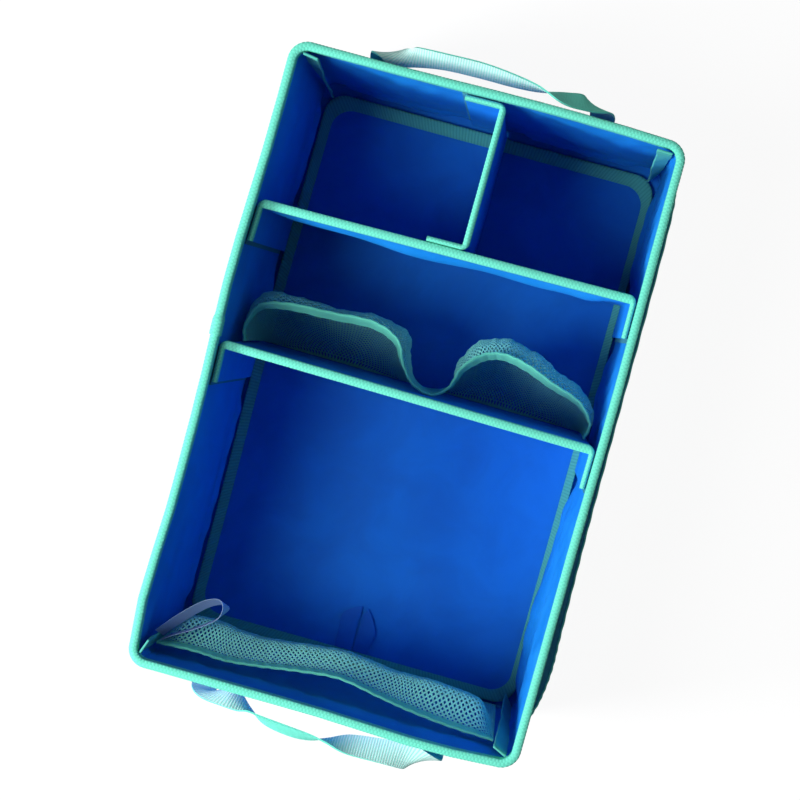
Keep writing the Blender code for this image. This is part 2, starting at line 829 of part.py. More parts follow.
def divider_pocket():
    """Two full pockets side by side on the near divider, from one sheet sewn down between them."""
    line = "near_divider"
    face = cloth_offset(line) + CLOTH / 2 + GAP + MESH_CLOTH / 2
    sewn = GAP + HEM_CLOTH + GAP
    end = INNER_WIDTH / 2 - POCKET_END_CLEARANCE
    last = len(DIVIDER_HEM) - 1
    foot = [-end + 2 * end * index / last for index in range(last + 1)]
    hem = [(end * along, max(sewn, DIVIDER_POCKET_DEPTH * out)) for along, out in DIVIDER_HEM]

    def swell(share):
        """The mesh swells past its hem except in the middle of the left pocket."""
        return DIVIDER_POCKET_BELLY * (1.0 - 1.1 * bump(share, 0.24, 0.09))

    return {
        "name": "divider_pocket",
        "low": DIVIDER_LOW + 0.004,
        "high": BAG_HEIGHT - DIVIDER_POCKET_DROP,
        "foot": [Vector((x, cross_line(line, x) + face, 0)) for x in foot],
        "hem": [Vector((x, cross_line(line, x) + face + out, out / DIVIDER_POCKET_DEPTH)) for x, out in hem],
        "belly": 0.75,
        "lean": DIVIDER_HEM_LEAN,
        "swell": swell,
        "levels": (0.0, 0.05, 0.20, 0.36, 0.52, 0.68, 0.80),
        "holes": lambda column, row: column in DIVIDER_HOLE_COLUMNS and 2 <= row <= 5,
        "steps": 36,
    }


NEAR_HEM = [
    (-1.006, 0.383),
    (-0.784, 0.447),
    (-0.608, 0.404),
    (-0.409, 0.574),
    (-0.188, 0.830),
    (0.040, 1.000),
    (0.284, 0.745),
    (0.460, 0.574),
    (0.710, 0.383),
    (0.955, 0.255),
]


def near_pocket():
    """A flat pocket over the whole near wall, with a slack hem."""
    face = GAP + MESH_CLOTH / 2
    end = INNER_WIDTH / 2 - POCKET_END_CLEARANCE
    high = BAG_HEIGHT - NEAR_POCKET_DROP
    hem = [(end * along, NEAR_POCKET_SLACK * out) for along, out in NEAR_HEM]

    def wall_y(x, height):
        return -lining_face("near", x, height)

    return {
        "name": "near_pocket",
        "low": FLOOR_LOW + GAP,
        "high": high,
        "foot": [Vector((x, wall_y(x, 0.0) + face + 0.0005, 0)) for x, _ in hem],
        "hem": [Vector((x, wall_y(x, high) + face + out, 0)) for x, out in hem],
        "belly": 0.35,
        "lean": 0.0,
        "swell": lambda share: 0.0,
        "levels": (0.0, 0.06, 0.20, 0.48, 0.80),
        "holes": None,
        "steps": 20,
    }


OUTER_HEM = [
    (1.000, 0.10),
    (0.882, 0.42),
    (0.515, 0.50),
    (0.147, 0.50),
    (-0.184, 0.62),
    (-0.441, 0.78),
    (-0.662, 0.92),
    (-0.790, 1.00),
    (-0.901, 0.70),
    (-0.985, 0.10),
]


def outer_pocket():
    """A pocket outside the right wall, fuller towards the near end."""
    face = GAP + MESH_CLOTH / 2
    end = BAG_LENGTH / 2 - OUTER_POCKET_END
    high = BAG_HEIGHT - OUTER_POCKET_DROP
    hem = [(end * along, OUTER_POCKET_SLACK * out) for along, out in OUTER_HEM]

    def wall_x(y, height):
        return wall_distance("right") + bow("right", y, height)

    return {
        "name": "outer_pocket",
        "low": OUTER_POCKET_LOW,
        "high": high,
        "foot": [Vector((wall_x(y, OUTER_POCKET_LOW) + face, y, 0)) for y, _ in hem],
        "hem": [Vector((wall_x(y, high) + face + out, y, 0)) for y, out in hem],
        "belly": 0.6,
        "lean": 0.0,
        "swell": lambda share: 0.0,
        "levels": (0.0, 0.05, 0.16, 0.36, 0.60, 0.82),
        "holes": None,
        "steps": 20,
    }


# Care label loop: distances from the left and near sides of the bag
LABEL_ROUTE = [
    (0.0178, 0.0198),
    (0.0338, 0.0376),
    (0.0518, 0.0553),
    (0.0658, 0.0623),
    (0.0723, 0.0588),
    (0.0618, 0.0458),
    (0.0438, 0.0318),
    (0.0278, 0.0228),
    (0.0188, 0.0180),
]


def make_label_loop():
    """A blank satin tape, sewn into the near left corner seam and looped into the bag."""
    route = [Vector((x - BAG_WIDTH / 2, y - BAG_LENGTH / 2, 0)) for x, y in LABEL_ROUTE]
    high = BAG_HEIGHT - LABEL_DROP

    def place(share, height):
        point = along_points(route, share)
        return Vector((point.x, point.y, height))

    heights = spread(high - LABEL_WIDTH, high, 1)
    sheet("label_loop", spread(0, 1, 18), heights, place, LABEL_THICKNESS, "blue satin")


# Webbing handles: centre line as x, distance outside the wall and distance below the rim, then
# the way that the strap's width points. Each end is sewn flat on the wall.

FAR_HANDLE = [
    ((-0.106, 0.0, 0.100), (1, 0, 0)),
    ((-0.106, 0.0, 0.078), (1, 0, 0)),
    ((-0.106, 0.0008, 0.054), (1, 0, 0)),
    ((-0.103, 0.0050, 0.032), (0.93, 0.30, -0.20)),
    ((-0.090, 0.0100, 0.019), (0.60, 0.62, -0.50)),
    ((-0.066, 0.0150, 0.015), (0.10, 0.62, -0.78)),
    ((-0.034, 0.0160, 0.017), (0.00, 0.56, -0.83)),
    ((0.006, 0.0145, 0.018), (0.00, 0.52, -0.85)),
    ((0.042, 0.0115, 0.019), (0.00, 0.28, -0.96)),
    ((0.070, 0.0095, 0.021), (-0.25, 0.30, -0.92)),
    ((0.089, 0.0080, 0.028), (-0.72, 0.35, -0.60)),
    ((0.098, 0.0040, 0.044), (-0.97, 0.20, -0.15)),
    ((0.099, 0.0008, 0.062), (-1, 0, 0)),
    ((0.099, 0.0, 0.080), (-1, 0, 0)),
    ((0.099, 0.0, 0.100), (-1, 0, 0)),
]
NEAR_HANDLE = [
    ((-0.118, 0.0, 0.100), (1, 0, 0)),
    ((-0.118, 0.0, 0.078), (1, 0, 0)),
    ((-0.117, 0.0008, 0.054), (1, 0, 0)),
    ((-0.112, 0.0050, 0.034), (0.93, 0.30, -0.20)),
    ((-0.096, 0.0085, 0.023), (0.50, 0.60, -0.62)),
    ((-0.072, 0.0135, 0.020), (0.10, 0.24, -0.96)),
    ((-0.045, 0.0190, 0.020), (0.00, 0.42, -0.90)),
    ((-0.014, 0.0205, 0.020), (0.00, 0.44, -0.89)),
    ((0.020, 0.0165, 0.020), (0.00, 0.20, -0.97)),
    ((0.052, 0.0125, 0.020), (-0.15, 0.52, -0.83)),
    ((0.084, 0.0095, 0.025), (-0.62, 0.56, -0.55)),
    ((0.101, 0.0050, 0.040), (-0.95, 0.28, -0.15)),
    ((0.105, 0.0008, 0.060), (-1, 0, 0)),
    ((0.105, 0.0, 0.080), (-1, 0, 0)),
    ((0.105, 0.0, 0.100), (-1, 0, 0)),
]


def make_handle(wall, route):
    facing = WALLS[wall][0]
    sewn = GAP + WEBBING_THICKNESS / 2
    centres = [Vector(centre) for centre, _ in route]
    widths = [Vector(width).normalized() for _, width in route]

    def place(share, across):
        centre = along_points(centres, share)
        width = along_points(widths, share).normalized()
        x = centre.x + width.x * across
        run = x * WALLS[wall][1].x
        height = BAG_HEIGHT - centre.z
        out = wall_distance(wall) + bow(wall, run, height) + sewn + centre.y + width.y * across
        return Vector((x, facing.y * out, height + width.z * across))

    half = WEBBING_WIDTH / 2
    sheet(
        f"{wall}_handle",
        spread(0, 1, 38),
        spread(-half, half, 2),
        place,
        WEBBING_THICKNESS,
        "mint webbing",
    )


clear_scene()
BAG = bag_collection()
make_walls()
make_bottom()
make_rim_binding()
make_corner_seams()
make_floor_board()
make_pull_tab()
make_divider("far_divider", 14)
make_divider("near_divider", 8)
make_divider("small_divider", 4)
make_pocket(divider_pocket())
make_pocket(near_pocket())
make_pocket(outer_pocket())
make_label_loop()
make_handle("far", FAR_HANDLE)
make_handle("near", NEAR_HANDLE)
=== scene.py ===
# %% [markdown]
# # A soft-sided car organiser bag
#
# The bag is sewn from stiffened cloth, bound with ribbed tape and fitted with cloth dividers and
# mesh pockets. The CAD solids give every size and place. This lesson makes the cloth itself: its
# sag and creases, the ribs of the tape, the holes of the mesh and the colour of each material.

# %% Load the frame
import math

import bpy
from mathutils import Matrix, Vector


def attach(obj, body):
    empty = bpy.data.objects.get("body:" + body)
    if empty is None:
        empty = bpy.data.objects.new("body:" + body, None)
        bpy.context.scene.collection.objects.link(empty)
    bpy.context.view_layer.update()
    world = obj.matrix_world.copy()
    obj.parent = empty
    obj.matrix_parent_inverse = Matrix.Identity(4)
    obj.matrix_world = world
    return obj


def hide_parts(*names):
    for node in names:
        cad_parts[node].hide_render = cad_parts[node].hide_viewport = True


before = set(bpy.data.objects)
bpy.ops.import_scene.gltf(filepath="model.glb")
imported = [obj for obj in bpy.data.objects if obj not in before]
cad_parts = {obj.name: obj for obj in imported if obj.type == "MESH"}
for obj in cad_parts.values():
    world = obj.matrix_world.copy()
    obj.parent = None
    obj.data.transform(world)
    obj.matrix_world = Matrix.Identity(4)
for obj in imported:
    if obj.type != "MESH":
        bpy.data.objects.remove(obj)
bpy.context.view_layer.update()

# %% [markdown]
# ## Sizes
#
# Lengths are metres, in the CAD frame: X to the right side, Y to the far end, Z up. The same
# named sizes as in the solids are written here once, and every piece below is made from them.

# %% Sizes of the bag
BAG_WIDTH = 0.3876
BAG_LENGTH = 0.6176
BAG_HEIGHT = 0.300
CORNER_RADIUS = 0.018
CLOTH = 0.0010
WALL_THICKNESS = 0.0056
TAPE = 0.0009
GAP = 0.0003
WALL_LOW = 0.0013
CLOTH_TOP = 0.2974
JOINT_AT = -0.030
JOINT_OVERLAP = 0.014
FLOOR_LOW = 0.0013
FLOOR_STACK = 0.0076
FLOOR_TOP = FLOOR_LOW + FLOOR_STACK
DIVIDER_LOW = FLOOR_TOP + GAP
DIVIDER_TOP = 0.282
FLAP_LENGTH = 0.038
FLAP_TURN = 0.006
FLAP_INNER_TURN = 0.0025
STRIP_STACK = 0.0033
INNER_WIDTH = BAG_WIDTH - 2 * WALL_THICKNESS
RIB_PITCH = 0.0036
RIB_DEPTH = 0.00022
SHALLOW_RIB = 0.00018
SEAM_PITCH = 0.0032
WEBBING_PITCH = 0.0026

WALLS = {
    "right": (Vector((1, 0, 0)), Vector((0, 1, 0))),
    "far": (Vector((0, 1, 0)), Vector((-1, 0, 0))),
    "left": (Vector((-1, 0, 0)), Vector((0, -1, 0))),
    "near": (Vector((0, -1, 0)), Vector((1, 0, 0))),
}
WALL_STEPS = {"right": 13, "far": 8, "left": 13, "near": 8}
BOWS = {
    "right": ((0.06, 0.12, 0.0015),),
    "far": ((-0.06, 0.10, 0.0025),),
    "left": ((-0.08, 0.09, 0.0042), (0.235, 0.05, 0.0035)),
    "near": ((0.10, 0.07, 0.0035),),
}
BOW_FADE = 0.035


# %% [markdown]
# ## Small helpers
#
# A bag is mostly sheets that follow a rule, so one helper turns a rule into a thick sheet with a
# UV map in metres. The weave, the ribs and the stitches can then use real sizes.

# %% Curves and easing
def spread(start, stop, count):
    return [start + (stop - start) * step / count for step in range(count + 1)]


def smooth(share):
    share = max(0.0, min(1.0, share))
    return share * share * (3 - 2 * share)


def bump(value, centre, width):
    return math.exp(-(((value - centre) / width) ** 2))


def along_points(points, share):
    """A point on the smooth curve through the given points, for share from 0 to 1."""
    place = min(max(share, 0.0) * (len(points) - 1), len(points) - 1 - 1e-9)
    index = int(place)
    part = place - index
    before = points[max(index - 1, 0)]
    start = points[index]
    end = points[index + 1]
    after = points[min(index + 2, len(points) - 1)]
    cube = part**3
    square = part**2
    return (
        start * (2 * cube - 3 * square + 1)
        + (end - before) * 0.5 * (cube - 2 * square + part)
        + end * (3 * square - 2 * cube)
        + (after - start) * 0.5 * (cube - square)
    )


def ripple(a, b, seed):
    """Smooth uneven waves between -1 and 1, the same on every run."""
    return (
        math.sin(a * 1.00 + b * 0.31 + seed)
        + 0.6 * math.sin(a * 2.30 - b * 0.70 + 1.7 * seed)
        + 0.4 * math.sin(a * 4.10 + b * 1.90 + 2.9 * seed)
    ) / 2.0


# %% Sheets
SHARP_EDGE = math.radians(50)


def new_object(name, data):
    piece = bpy.data.objects.new(name, data)
    bpy.context.scene.collection.objects.link(piece)
    return piece


def lengths(points):
    """Distances along a row of points."""
    total = [0.0]
    for before, after in zip(points, points[1:]):
        total.append(total[-1] + (after - before).length)
    return total


def flat_mesh(name, grid, closed):
    """A mesh from rows of points, with UVs in metres."""
    across = len(grid[0])
    middle = grid[len(grid) // 2]
    u = lengths(middle + ([middle[0]] if closed else []))
    v = lengths([row[across // 2] for row in grid])
    verts = [point for row in grid for point in row]
    faces = []
    uvs = []
    for j in range(len(grid) - 1):
        for i in range(across if closed else across - 1):
            k = (i + 1) % across
            faces.append((j * across + i, j * across + k, (j + 1) * across + k, (j + 1) * across + i))
            uvs += [(u[i], v[j]), (u[i + 1], v[j]), (u[i + 1], v[j + 1]), (u[i], v[j + 1])]
    mesh = bpy.data.meshes.new(name)
    mesh.from_pydata(verts, [], faces)
    layer = mesh.uv_layers.new(name="UVMap")
    layer.data.foreach_set("uv", [value for pair in uvs for value in pair])
    return mesh


def settle(piece):
    """Turns a piece with modifiers into a plain mesh."""
    view = bpy.context.evaluated_depsgraph_get()
    done = piece.evaluated_get(view)
    mesh = bpy.data.meshes.new_from_object(done, preserve_all_data_layers=True, depsgraph=view)
    piece.modifiers.clear()
    piece.data = mesh


def thicken(piece, thickness, even=True, back=0):
    """Gives a flat sheet its thickness, half to each side, with an optional other material behind."""
    shell = piece.modifiers.new("thickness", "SOLIDIFY")
    shell.thickness = thickness
    shell.offset = 0.0
    shell.use_even_offset = even
    shell.material_offset = back
    shell.material_offset_rim = back
    settle(piece)
    piece.data.shade_smooth()
    piece.data.set_sharp_from_angle(angle=SHARP_EDGE)


def thick_sheet(name, grid, thickness, materials, closed=False, back=0):
    """A closed cloth sheet along rows of points."""
    mesh = flat_mesh(name, grid, closed)
    for material in materials:
        mesh.materials.append(material)
    piece = new_object(name, mesh)
    piece["flat_area"] = sum(face.area for face in mesh.polygons)
    piece["flat_length"] = max(lengths(row)[-1] for row in grid)
    piece["flat_width"] = max(lengths(column)[-1] for column in zip(*grid))
    thicken(piece, thickness, back=back)
    return piece


def sew_in(piece, node_name, rests_on):
    """Makes a sheet part of the bag, in place of its CAD solid."""
    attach(piece, "root")
    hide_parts(node_name)


# %% [markdown]
# ## Finishes
#
# The cloth is a close plain weave of polyester with a soft sheen, the tape is a ribbed knit and
# the webbing is woven in bars. Each effect that several of them share is one node group.


# %% Node helpers
def new_group(name, inputs, outputs):
    group = bpy.data.node_groups.new(name, "ShaderNodeTree")
    for socket, kind, value in inputs:
        made = group.interface.new_socket(name=socket, in_out="INPUT", socket_type=kind)
        if value is not None:
            made.default_value = value
    for socket, kind in outputs:
        group.interface.new_socket(name=socket, in_out="OUTPUT", socket_type=kind)
    return group, group.nodes.new("NodeGroupInput"), group.nodes.new("NodeGroupOutput")


def math_node(tree, operation, first, second=None, third=None):
    """A Math node on links or plain numbers."""
    node = tree.nodes.new("ShaderNodeMath")
    node.operation = operation
    for index, value in enumerate((first, second, third)):
        if value is None:
            continue
        if isinstance(value, (int, float)):
            node.inputs[index].default_value = value
        else:
            tree.links.new(value, node.inputs[index])
    return node.outputs[0]


def mix_colour(tree, share, first, second):
    node = tree.nodes.new("ShaderNodeMix")
    node.data_type = "RGBA"
    for socket, value in ((node.inputs[0], share), (node.inputs[6], first), (node.inputs[7], second)):
        if isinstance(value, (int, float)):
            socket.default_value = value
        elif isinstance(value, tuple):
            socket.default_value = (*value, 1.0)
        else:
            tree.links.new(value, socket)
    return node.outputs[2]


# %% Weave group
def weave_group():
    """Threads of a plain weave, as a height that changes over in each small square."""
    group, start, end = new_group(
        "plain weave",
        [("Vector", "NodeSocketVector", None), ("Thread", "NodeSocketFloat", 0.0007)],
        [("Height", "NodeSocketFloat")],
    )
    split = group.nodes.new("ShaderNodeSeparateXYZ")
    group.links.new(start.outputs["Vector"], split.inputs[0])
    thread = start.outputs["Thread"]
    u = math_node(group, "DIVIDE", split.outputs["X"], thread)
    v = math_node(group, "DIVIDE", split.outputs["Y"], thread)
    over_u = math_node(group, "ABSOLUTE", math_node(group, "SINE", math_node(group, "MULTIPLY", u, math.pi)))
    over_v = math_node(group, "ABSOLUTE", math_node(group, "SINE", math_node(group, "MULTIPLY", v, math.pi)))
    squares = math_node(group, "ADD", math_node(group, "FLOOR", u), math_node(group, "FLOOR", v))
    turn = math_node(group, "PINGPONG", squares, 1.0)
    first = math_node(group, "MULTIPLY", over_u, turn)
    second = math_node(group, "MULTIPLY", over_v, math_node(group, "SUBTRACT", 1.0, turn))
    group.links.new(math_node(group, "ADD", first, second), end.inputs["Height"])
    return group


# %% Rib group
def rib_group():
    """Rounded bars across a tape, counted along its length. Each row starts half a bar later."""
    group, start, end = new_group(
        "tape ribs",
        [
            ("Vector", "NodeSocketVector", None),
            ("Pitch", "NodeSocketFloat", RIB_PITCH),
            ("Row", "NodeSocketFloat", 1.0),
        ],
        [("Crest", "NodeSocketFloat")],
    )
    split = group.nodes.new("ShaderNodeSeparateXYZ")
    group.links.new(start.outputs["Vector"], split.inputs[0])
    row = math_node(group, "FLOOR", math_node(group, "DIVIDE", split.outputs["Y"], start.outputs["Row"]))
    turns = math_node(group, "DIVIDE", split.outputs["X"], start.outputs["Pitch"])
    turns = math_node(group, "MULTIPLY_ADD", row, 0.5, turns)
    wave = math_node(group, "COSINE", math_node(group, "MULTIPLY", turns, 2 * math.pi))
    crest = math_node(group, "MULTIPLY_ADD", wave, 0.5, 0.5)
    group.links.new(crest, end.inputs["Crest"])
    return group


# %% Handling group
def handling_group():
    """Slow unevenness that cloth gets from folding and handling: a mask and a height."""
    group, start, end = new_group(
        "cloth handling",
        [("Vector", "NodeSocketVector", None), ("Scale", "NodeSocketFloat", 14.0)],
        [("Mask", "NodeSocketFloat"), ("Height", "NodeSocketFloat")],
    )
    broad = group.nodes.new("ShaderNodeTexNoise")
    broad.inputs["Detail"].default_value = 4.0
    broad.inputs["Roughness"].default_value = 0.55
    broad.inputs["Distortion"].default_value = 0.6
    group.links.new(start.outputs["Vector"], broad.inputs["Vector"])
    group.links.new(start.outputs["Scale"], broad.inputs["Scale"])
    shaped = group.nodes.new("ShaderNodeMapRange")
    shaped.interpolation_type = "SMOOTHSTEP"
    shaped.inputs["From Min"].default_value = 0.3
    shaped.inputs["From Max"].default_value = 0.7
    group.links.new(broad.outputs["Fac"], shaped.inputs["Value"])
    group.links.new(shaped.outputs["Result"], end.inputs["Mask"])
    group.links.new(broad.outputs["Fac"], end.inputs["Height"])
    return group


WEAVE = weave_group()
RIBS = rib_group()
HANDLING = handling_group()


# %% Material maker
def place_group(tree, group, vector, **values):
    node = tree.nodes.new("ShaderNodeGroup")
    node.node_tree = group
    tree.links.new(vector, node.inputs["Vector"])
    for name, value in values.items():
        node.inputs[name].default_value = value
    return node


def start_material(name):
    material = bpy.data.materials.new(name)
    material.use_nodes = True
    tree = material.node_tree
    coordinates = tree.nodes.new("ShaderNodeTexCoord")
    shader = tree.nodes["Principled BSDF"]
    return material, tree, shader, coordinates.outputs["UV"], coordinates.outputs["Object"]


def bumps(tree, shader, layers):
    """Bump nodes in a chain: each layer is a height link, a strength and a distance in metres."""
    normal = None
    for height, strength, distance in layers:
        node = tree.nodes.new("ShaderNodeBump")
        node.inputs["Strength"].default_value = strength
        node.inputs["Distance"].default_value = distance
        tree.links.new(height, node.inputs["Height"])
        if normal is not None:
            tree.links.new(normal, node.inputs["Normal"])
        normal = node.outputs["Normal"]
    tree.links.new(normal, shader.inputs["Normal"])


def cloth_material(name, colour, light_colour, roughness, sheen, thread=0.0008, weave=0.25):
    """Woven polyester: two close blues, a weave with painted shade between its threads and a soft sheen."""
    material, tree, shader, uv, place = start_material(name)
    handled = place_group(tree, HANDLING, place, Scale=16.0)
    threads = place_group(tree, WEAVE, uv, Thread=thread)
    base = mix_colour(tree, handled.outputs["Mask"], colour, light_colour)
    # Painted shade: the colour is darkened where the weave's threads dip, as shade between the threads.
    thread_shade_colour = tuple(value * 0.72 for value in colour)
    between = math_node(tree, "MULTIPLY_ADD", threads.outputs["Height"], -0.35, 0.35)
    base = mix_colour(tree, between, base, thread_shade_colour)
    tree.links.new(base, shader.inputs["Base Color"])
    grain = math_node(tree, "MULTIPLY_ADD", handled.outputs["Mask"], 0.08, roughness - 0.04)
    tree.links.new(grain, shader.inputs["Roughness"])
    shader.inputs["Sheen Weight"].default_value = sheen
    shader.inputs["Sheen Roughness"].default_value = 0.45
    shader.inputs["Sheen Tint"].default_value = (0.06, 0.42, 1.0, 1.0)
    shader.inputs["Specular IOR Level"].default_value = 0.10
    folds = (handled.outputs["Height"], 0.35, 0.004)
    bumps(tree, shader, [folds, (threads.outputs["Height"], weave, 0.0002)])
    return material


def tape_material(name, colour, groove_shade_colour, pitch, roughness, sheen, contrast=0.5, row=1.0):
    """Ribbed tape: pale crests, painted shade in the grooves between them and a fine knit across them."""
    material, tree, shader, uv, place = start_material(name)
    ribs = place_group(tree, RIBS, uv, Pitch=pitch, Row=row)
    knit = place_group(tree, WEAVE, uv, Thread=0.0009)
    handled = place_group(tree, HANDLING, place, Scale=30.0)
    # Painted shade: the grooves between the ribs are darkened towards the groove's shade colour.
    groove_shade = math_node(tree, "SUBTRACT", 1.0, ribs.outputs["Crest"])
    groove_shade = math_node(tree, "MULTIPLY", math_node(tree, "POWER", groove_shade, 2.0), contrast)
    base = mix_colour(tree, groove_shade, colour, groove_shade_colour)
    worn = math_node(tree, "MULTIPLY", handled.outputs["Mask"], 0.25)
    base = mix_colour(tree, worn, base, tuple(value * 0.82 for value in colour))
    tree.links.new(base, shader.inputs["Base Color"])
    grain = math_node(tree, "MULTIPLY_ADD", handled.outputs["Mask"], 0.1, roughness)
    tree.links.new(grain, shader.inputs["Roughness"])
    shader.inputs["Sheen Weight"].default_value = sheen
    shader.inputs["Sheen Tint"].default_value = (*colour, 1.0)
    shader.inputs["Specular IOR Level"].default_value = 0.2
    bumps(tree, shader, [(ribs.outputs["Crest"], 0.35, 0.0006), (knit.outputs["Height"], 0.3, 0.0002)])
    return material


# %% The bag's materials
BLUE = cloth_material("blue cloth", (0.006, 0.190, 0.700), (0.010, 0.230, 0.800), 0.60, 0.04)
BLUE_LINING = cloth_material("blue lining", (0.010, 0.265, 0.840), (0.018, 0.325, 0.940), 0.55, 0.05)
BLUE_FLOOR = cloth_material("blue floor cloth", (0.005, 0.165, 0.640), (0.008, 0.200, 0.740), 0.58, 0.04)
BLUE_STRAP = cloth_material("blue strap cloth", (0.004, 0.120, 0.560), (0.007, 0.150, 0.640), 0.55, 0.05)
TAPE_MINT = tape_material(
    "mint tape", (0.185, 0.860, 0.660), (0.095, 0.580, 0.450), RIB_PITCH, 0.80, 0.08, 0.55, row=0.0032
)
# Painted shade: the floor board's tape is a darker copy of the mint tape, for the shade at the bottom of the
# bag.
SHADED_FLOOR_TAPE = tape_material(
    "shaded floor tape", (0.095, 0.520, 0.450), (0.040, 0.300, 0.270), RIB_PITCH, 0.85, 0.03
)
# Painted shade: the corner seams are bound with the rim's mint tape, coloured darker here for the shade in
# the corners.
SHADED_SEAM_TAPE = tape_material(
    "shaded seam tape", (0.110, 0.580, 0.490), (0.060, 0.400, 0.350), SEAM_PITCH, 0.85, 0.05, 0.4
)
# The ribbed face's near-white crests are partly a paler tone of its own and partly a painted highlight.
RIBBED_WEBBING_PAINTED_HIGHLIGHT = tape_material(
    "ribbed webbing", (0.720, 0.980, 0.950), (0.240, 0.880, 0.760), WEBBING_PITCH, 0.65, 0.15, 0.8
)
WEBBING_SMOOTH = tape_material(
    "smooth webbing", (0.185, 0.900, 0.720), (0.150, 0.820, 0.650), 0.0012, 0.70, 0.08, 0.4
)
MESH = tape_material("teal mesh", (0.280, 0.880, 0.760), (0.230, 0.780, 0.670), 0.0008, 0.85, 0.15)
ELASTIC = tape_material(
    "mint elastic", (0.175, 0.820, 0.600), (0.120, 0.660, 0.490), 0.0011, 0.75, 0.08, 0.4
)
SATIN = tape_material(
    "pale satin", (0.420, 0.600, 0.880), (0.330, 0.500, 0.800), 0.0009, 0.35, 0.05, 0.3
)
BOARD = cloth_material("grey board", (0.28, 0.28, 0.27), (0.32, 0.32, 0.31), 0.80, 0.0, weave=0.05)
HOOKS = cloth_material(
    "hook tape", (0.010, 0.090, 0.240), (0.016, 0.120, 0.300), 0.60, 0.0, thread=0.0012, weave=0.8
)
LOOPS = cloth_material(
    "loop tape", (0.060, 0.300, 0.320), (0.090, 0.380, 0.380), 0.95, 0.4, thread=0.0010, weave=0.8
)


# %% [markdown]
# ## Walls
#
# Four panels, each a cover, a board and a lining. A panel runs straight and then round half of
# each corner, where a bound seam joins it to the next. The walls are not quite flat: the rim
# bows out a little, and the lining is looser than its board.


# %% Wall shape
def wall_half(wall):
    return BAG_LENGTH / 2 if wall in ("right", "left") else BAG_WIDTH / 2


def wall_distance(wall):
    return BAG_WIDTH / 2 if wall in ("right", "left") else BAG_LENGTH / 2


def wall_straight(wall):
    return wall_half(wall) - CORNER_RADIUS


def wall_reach(wall):
    return wall_straight(wall) + CORNER_RADIUS * math.pi / 4


def rim_bow(wall, run):
    fade = smooth((wall_straight(wall) - abs(run)) / BOW_FADE)
    return fade * sum(depth * bump(run, centre, width) for centre, width, depth in BOWS[wall])


def bow(wall, run, height):
    """How far a wall leans out at a height, in the same flat stretches as the solids."""
    straight = wall_straight(wall)
    step = 2 * straight / WALL_STEPS[wall]
    place = (run + straight) / step
    index = max(0, min(WALL_STEPS[wall] - 1, math.floor(place)))
    part = max(0.0, min(1.0, place - index))
    start = rim_bow(wall, index * step - straight)
    end = rim_bow(wall, (index + 1) * step - straight)
    return (start + (end - start) * part) * height / BAG_HEIGHT


def wall_point(wall, run, inset, height):
    """A point at an inset from the outside of the bag, round the corners too."""
    facing, along = WALLS[wall]
    straight = wall_straight(wall)
    flat_run = max(-straight, min(straight, run))
    angle = (run - flat_run) / CORNER_RADIUS
    radius = CORNER_RADIUS - inset
    out = wall_distance(wall) - CORNER_RADIUS + radius * math.cos(angle) + bow(wall, flat_run, height)
    point = facing * out + along * (flat_run + radius * math.sin(angle))
    return Vector((point.x, point.y, height))


def panel_runs(wall, spacing):
    straight = wall_straight(wall)
    end = wall_reach(wall) - GAP / 2
    corner = spread(straight, end, 5)[1:]
    steps = max(8, round(2 * straight / spacing))
    return [-run for run in reversed(corner)] + spread(-straight, straight, steps) + corner


# %% Lining looseness
# Each loose place is a run along the wall, a level, a width, a height and a depth.
LOOSE = {
    "right": (
        (-0.195, 0.060, 0.075, 0.042, 0.0105),
        (-0.200, 0.170, 0.060, 0.050, 0.0035),
        (-0.255, 0.150, 0.020, 0.110, 0.0016),
        (-0.060, 0.120, 0.040, 0.080, 0.0012),
        (0.060, 0.130, 0.030, 0.100, 0.0010),
    ),
    "far": ((-0.10, 0.12, 0.05, 0.06, 0.0020), (0.09, 0.16, 0.04, 0.08, 0.0014)),
    "left": (
        (0.16, 0.12, 0.07, 0.07, 0.0025),
        (0.245, 0.18, 0.03, 0.09, 0.0012),
        (-0.245, 0.15, 0.03, 0.10, 0.0014),
    ),
    "near": ((0.0, 0.250, 0.10, 0.03, 0.0015), (0.11, 0.240, 0.05, 0.03, 0.0012)),
}
STRIPS = {
    "right": ((0.117, 0.155), (-0.032, 0.006)),
    "left": ((-0.152, -0.112), (-0.012, 0.030)),
    "far": ((-0.015, 0.023),),
    "near": (),
}
CREASE_FADE = 0.030
CREASE_TOP = 0.272
FLAP_MARGIN = 0.007
FOOT_ROLL = 0.0064
WAVE_SEEDS = {"right": 0.4, "far": 2.1, "left": 3.7, "near": 5.2}


def looseness(wall, run, height):
    """How far the lining stands in from its board: not at the seams, nor under a flap."""
    calm = smooth((wall_straight(wall) - abs(run)) / CREASE_FADE)
    calm *= smooth((height - WALL_LOW) / CREASE_FADE)
    calm *= smooth((CREASE_TOP - height) / CREASE_FADE)
    for start, stop in STRIPS[wall]:
        outside = max(start - run, run - stop) - FLAP_MARGIN
        calm *= smooth(outside / CREASE_FADE)
    seed = WAVE_SEEDS[wall]
    waves = 0.0009 * (1 + ripple(run * 60, height * 14, seed))
    folds = 0.0005 * (1 + math.sin(run * 190 + 5 * math.sin(height * 16 + seed)))
    sag = sum(
        depth * bump(run, centre, width) * bump(height, level, tall)
        for centre, level, width, tall, depth in LOOSE[wall]
    )
    roll = FOOT_ROLL * bump(height, 0.020, 0.010)
    if wall == "near":
        # The pocket's net lies close to the foot of this wall.
        calm *= smooth((height - 0.030) / 0.100)
    return calm * (waves + folds + sag + roll)


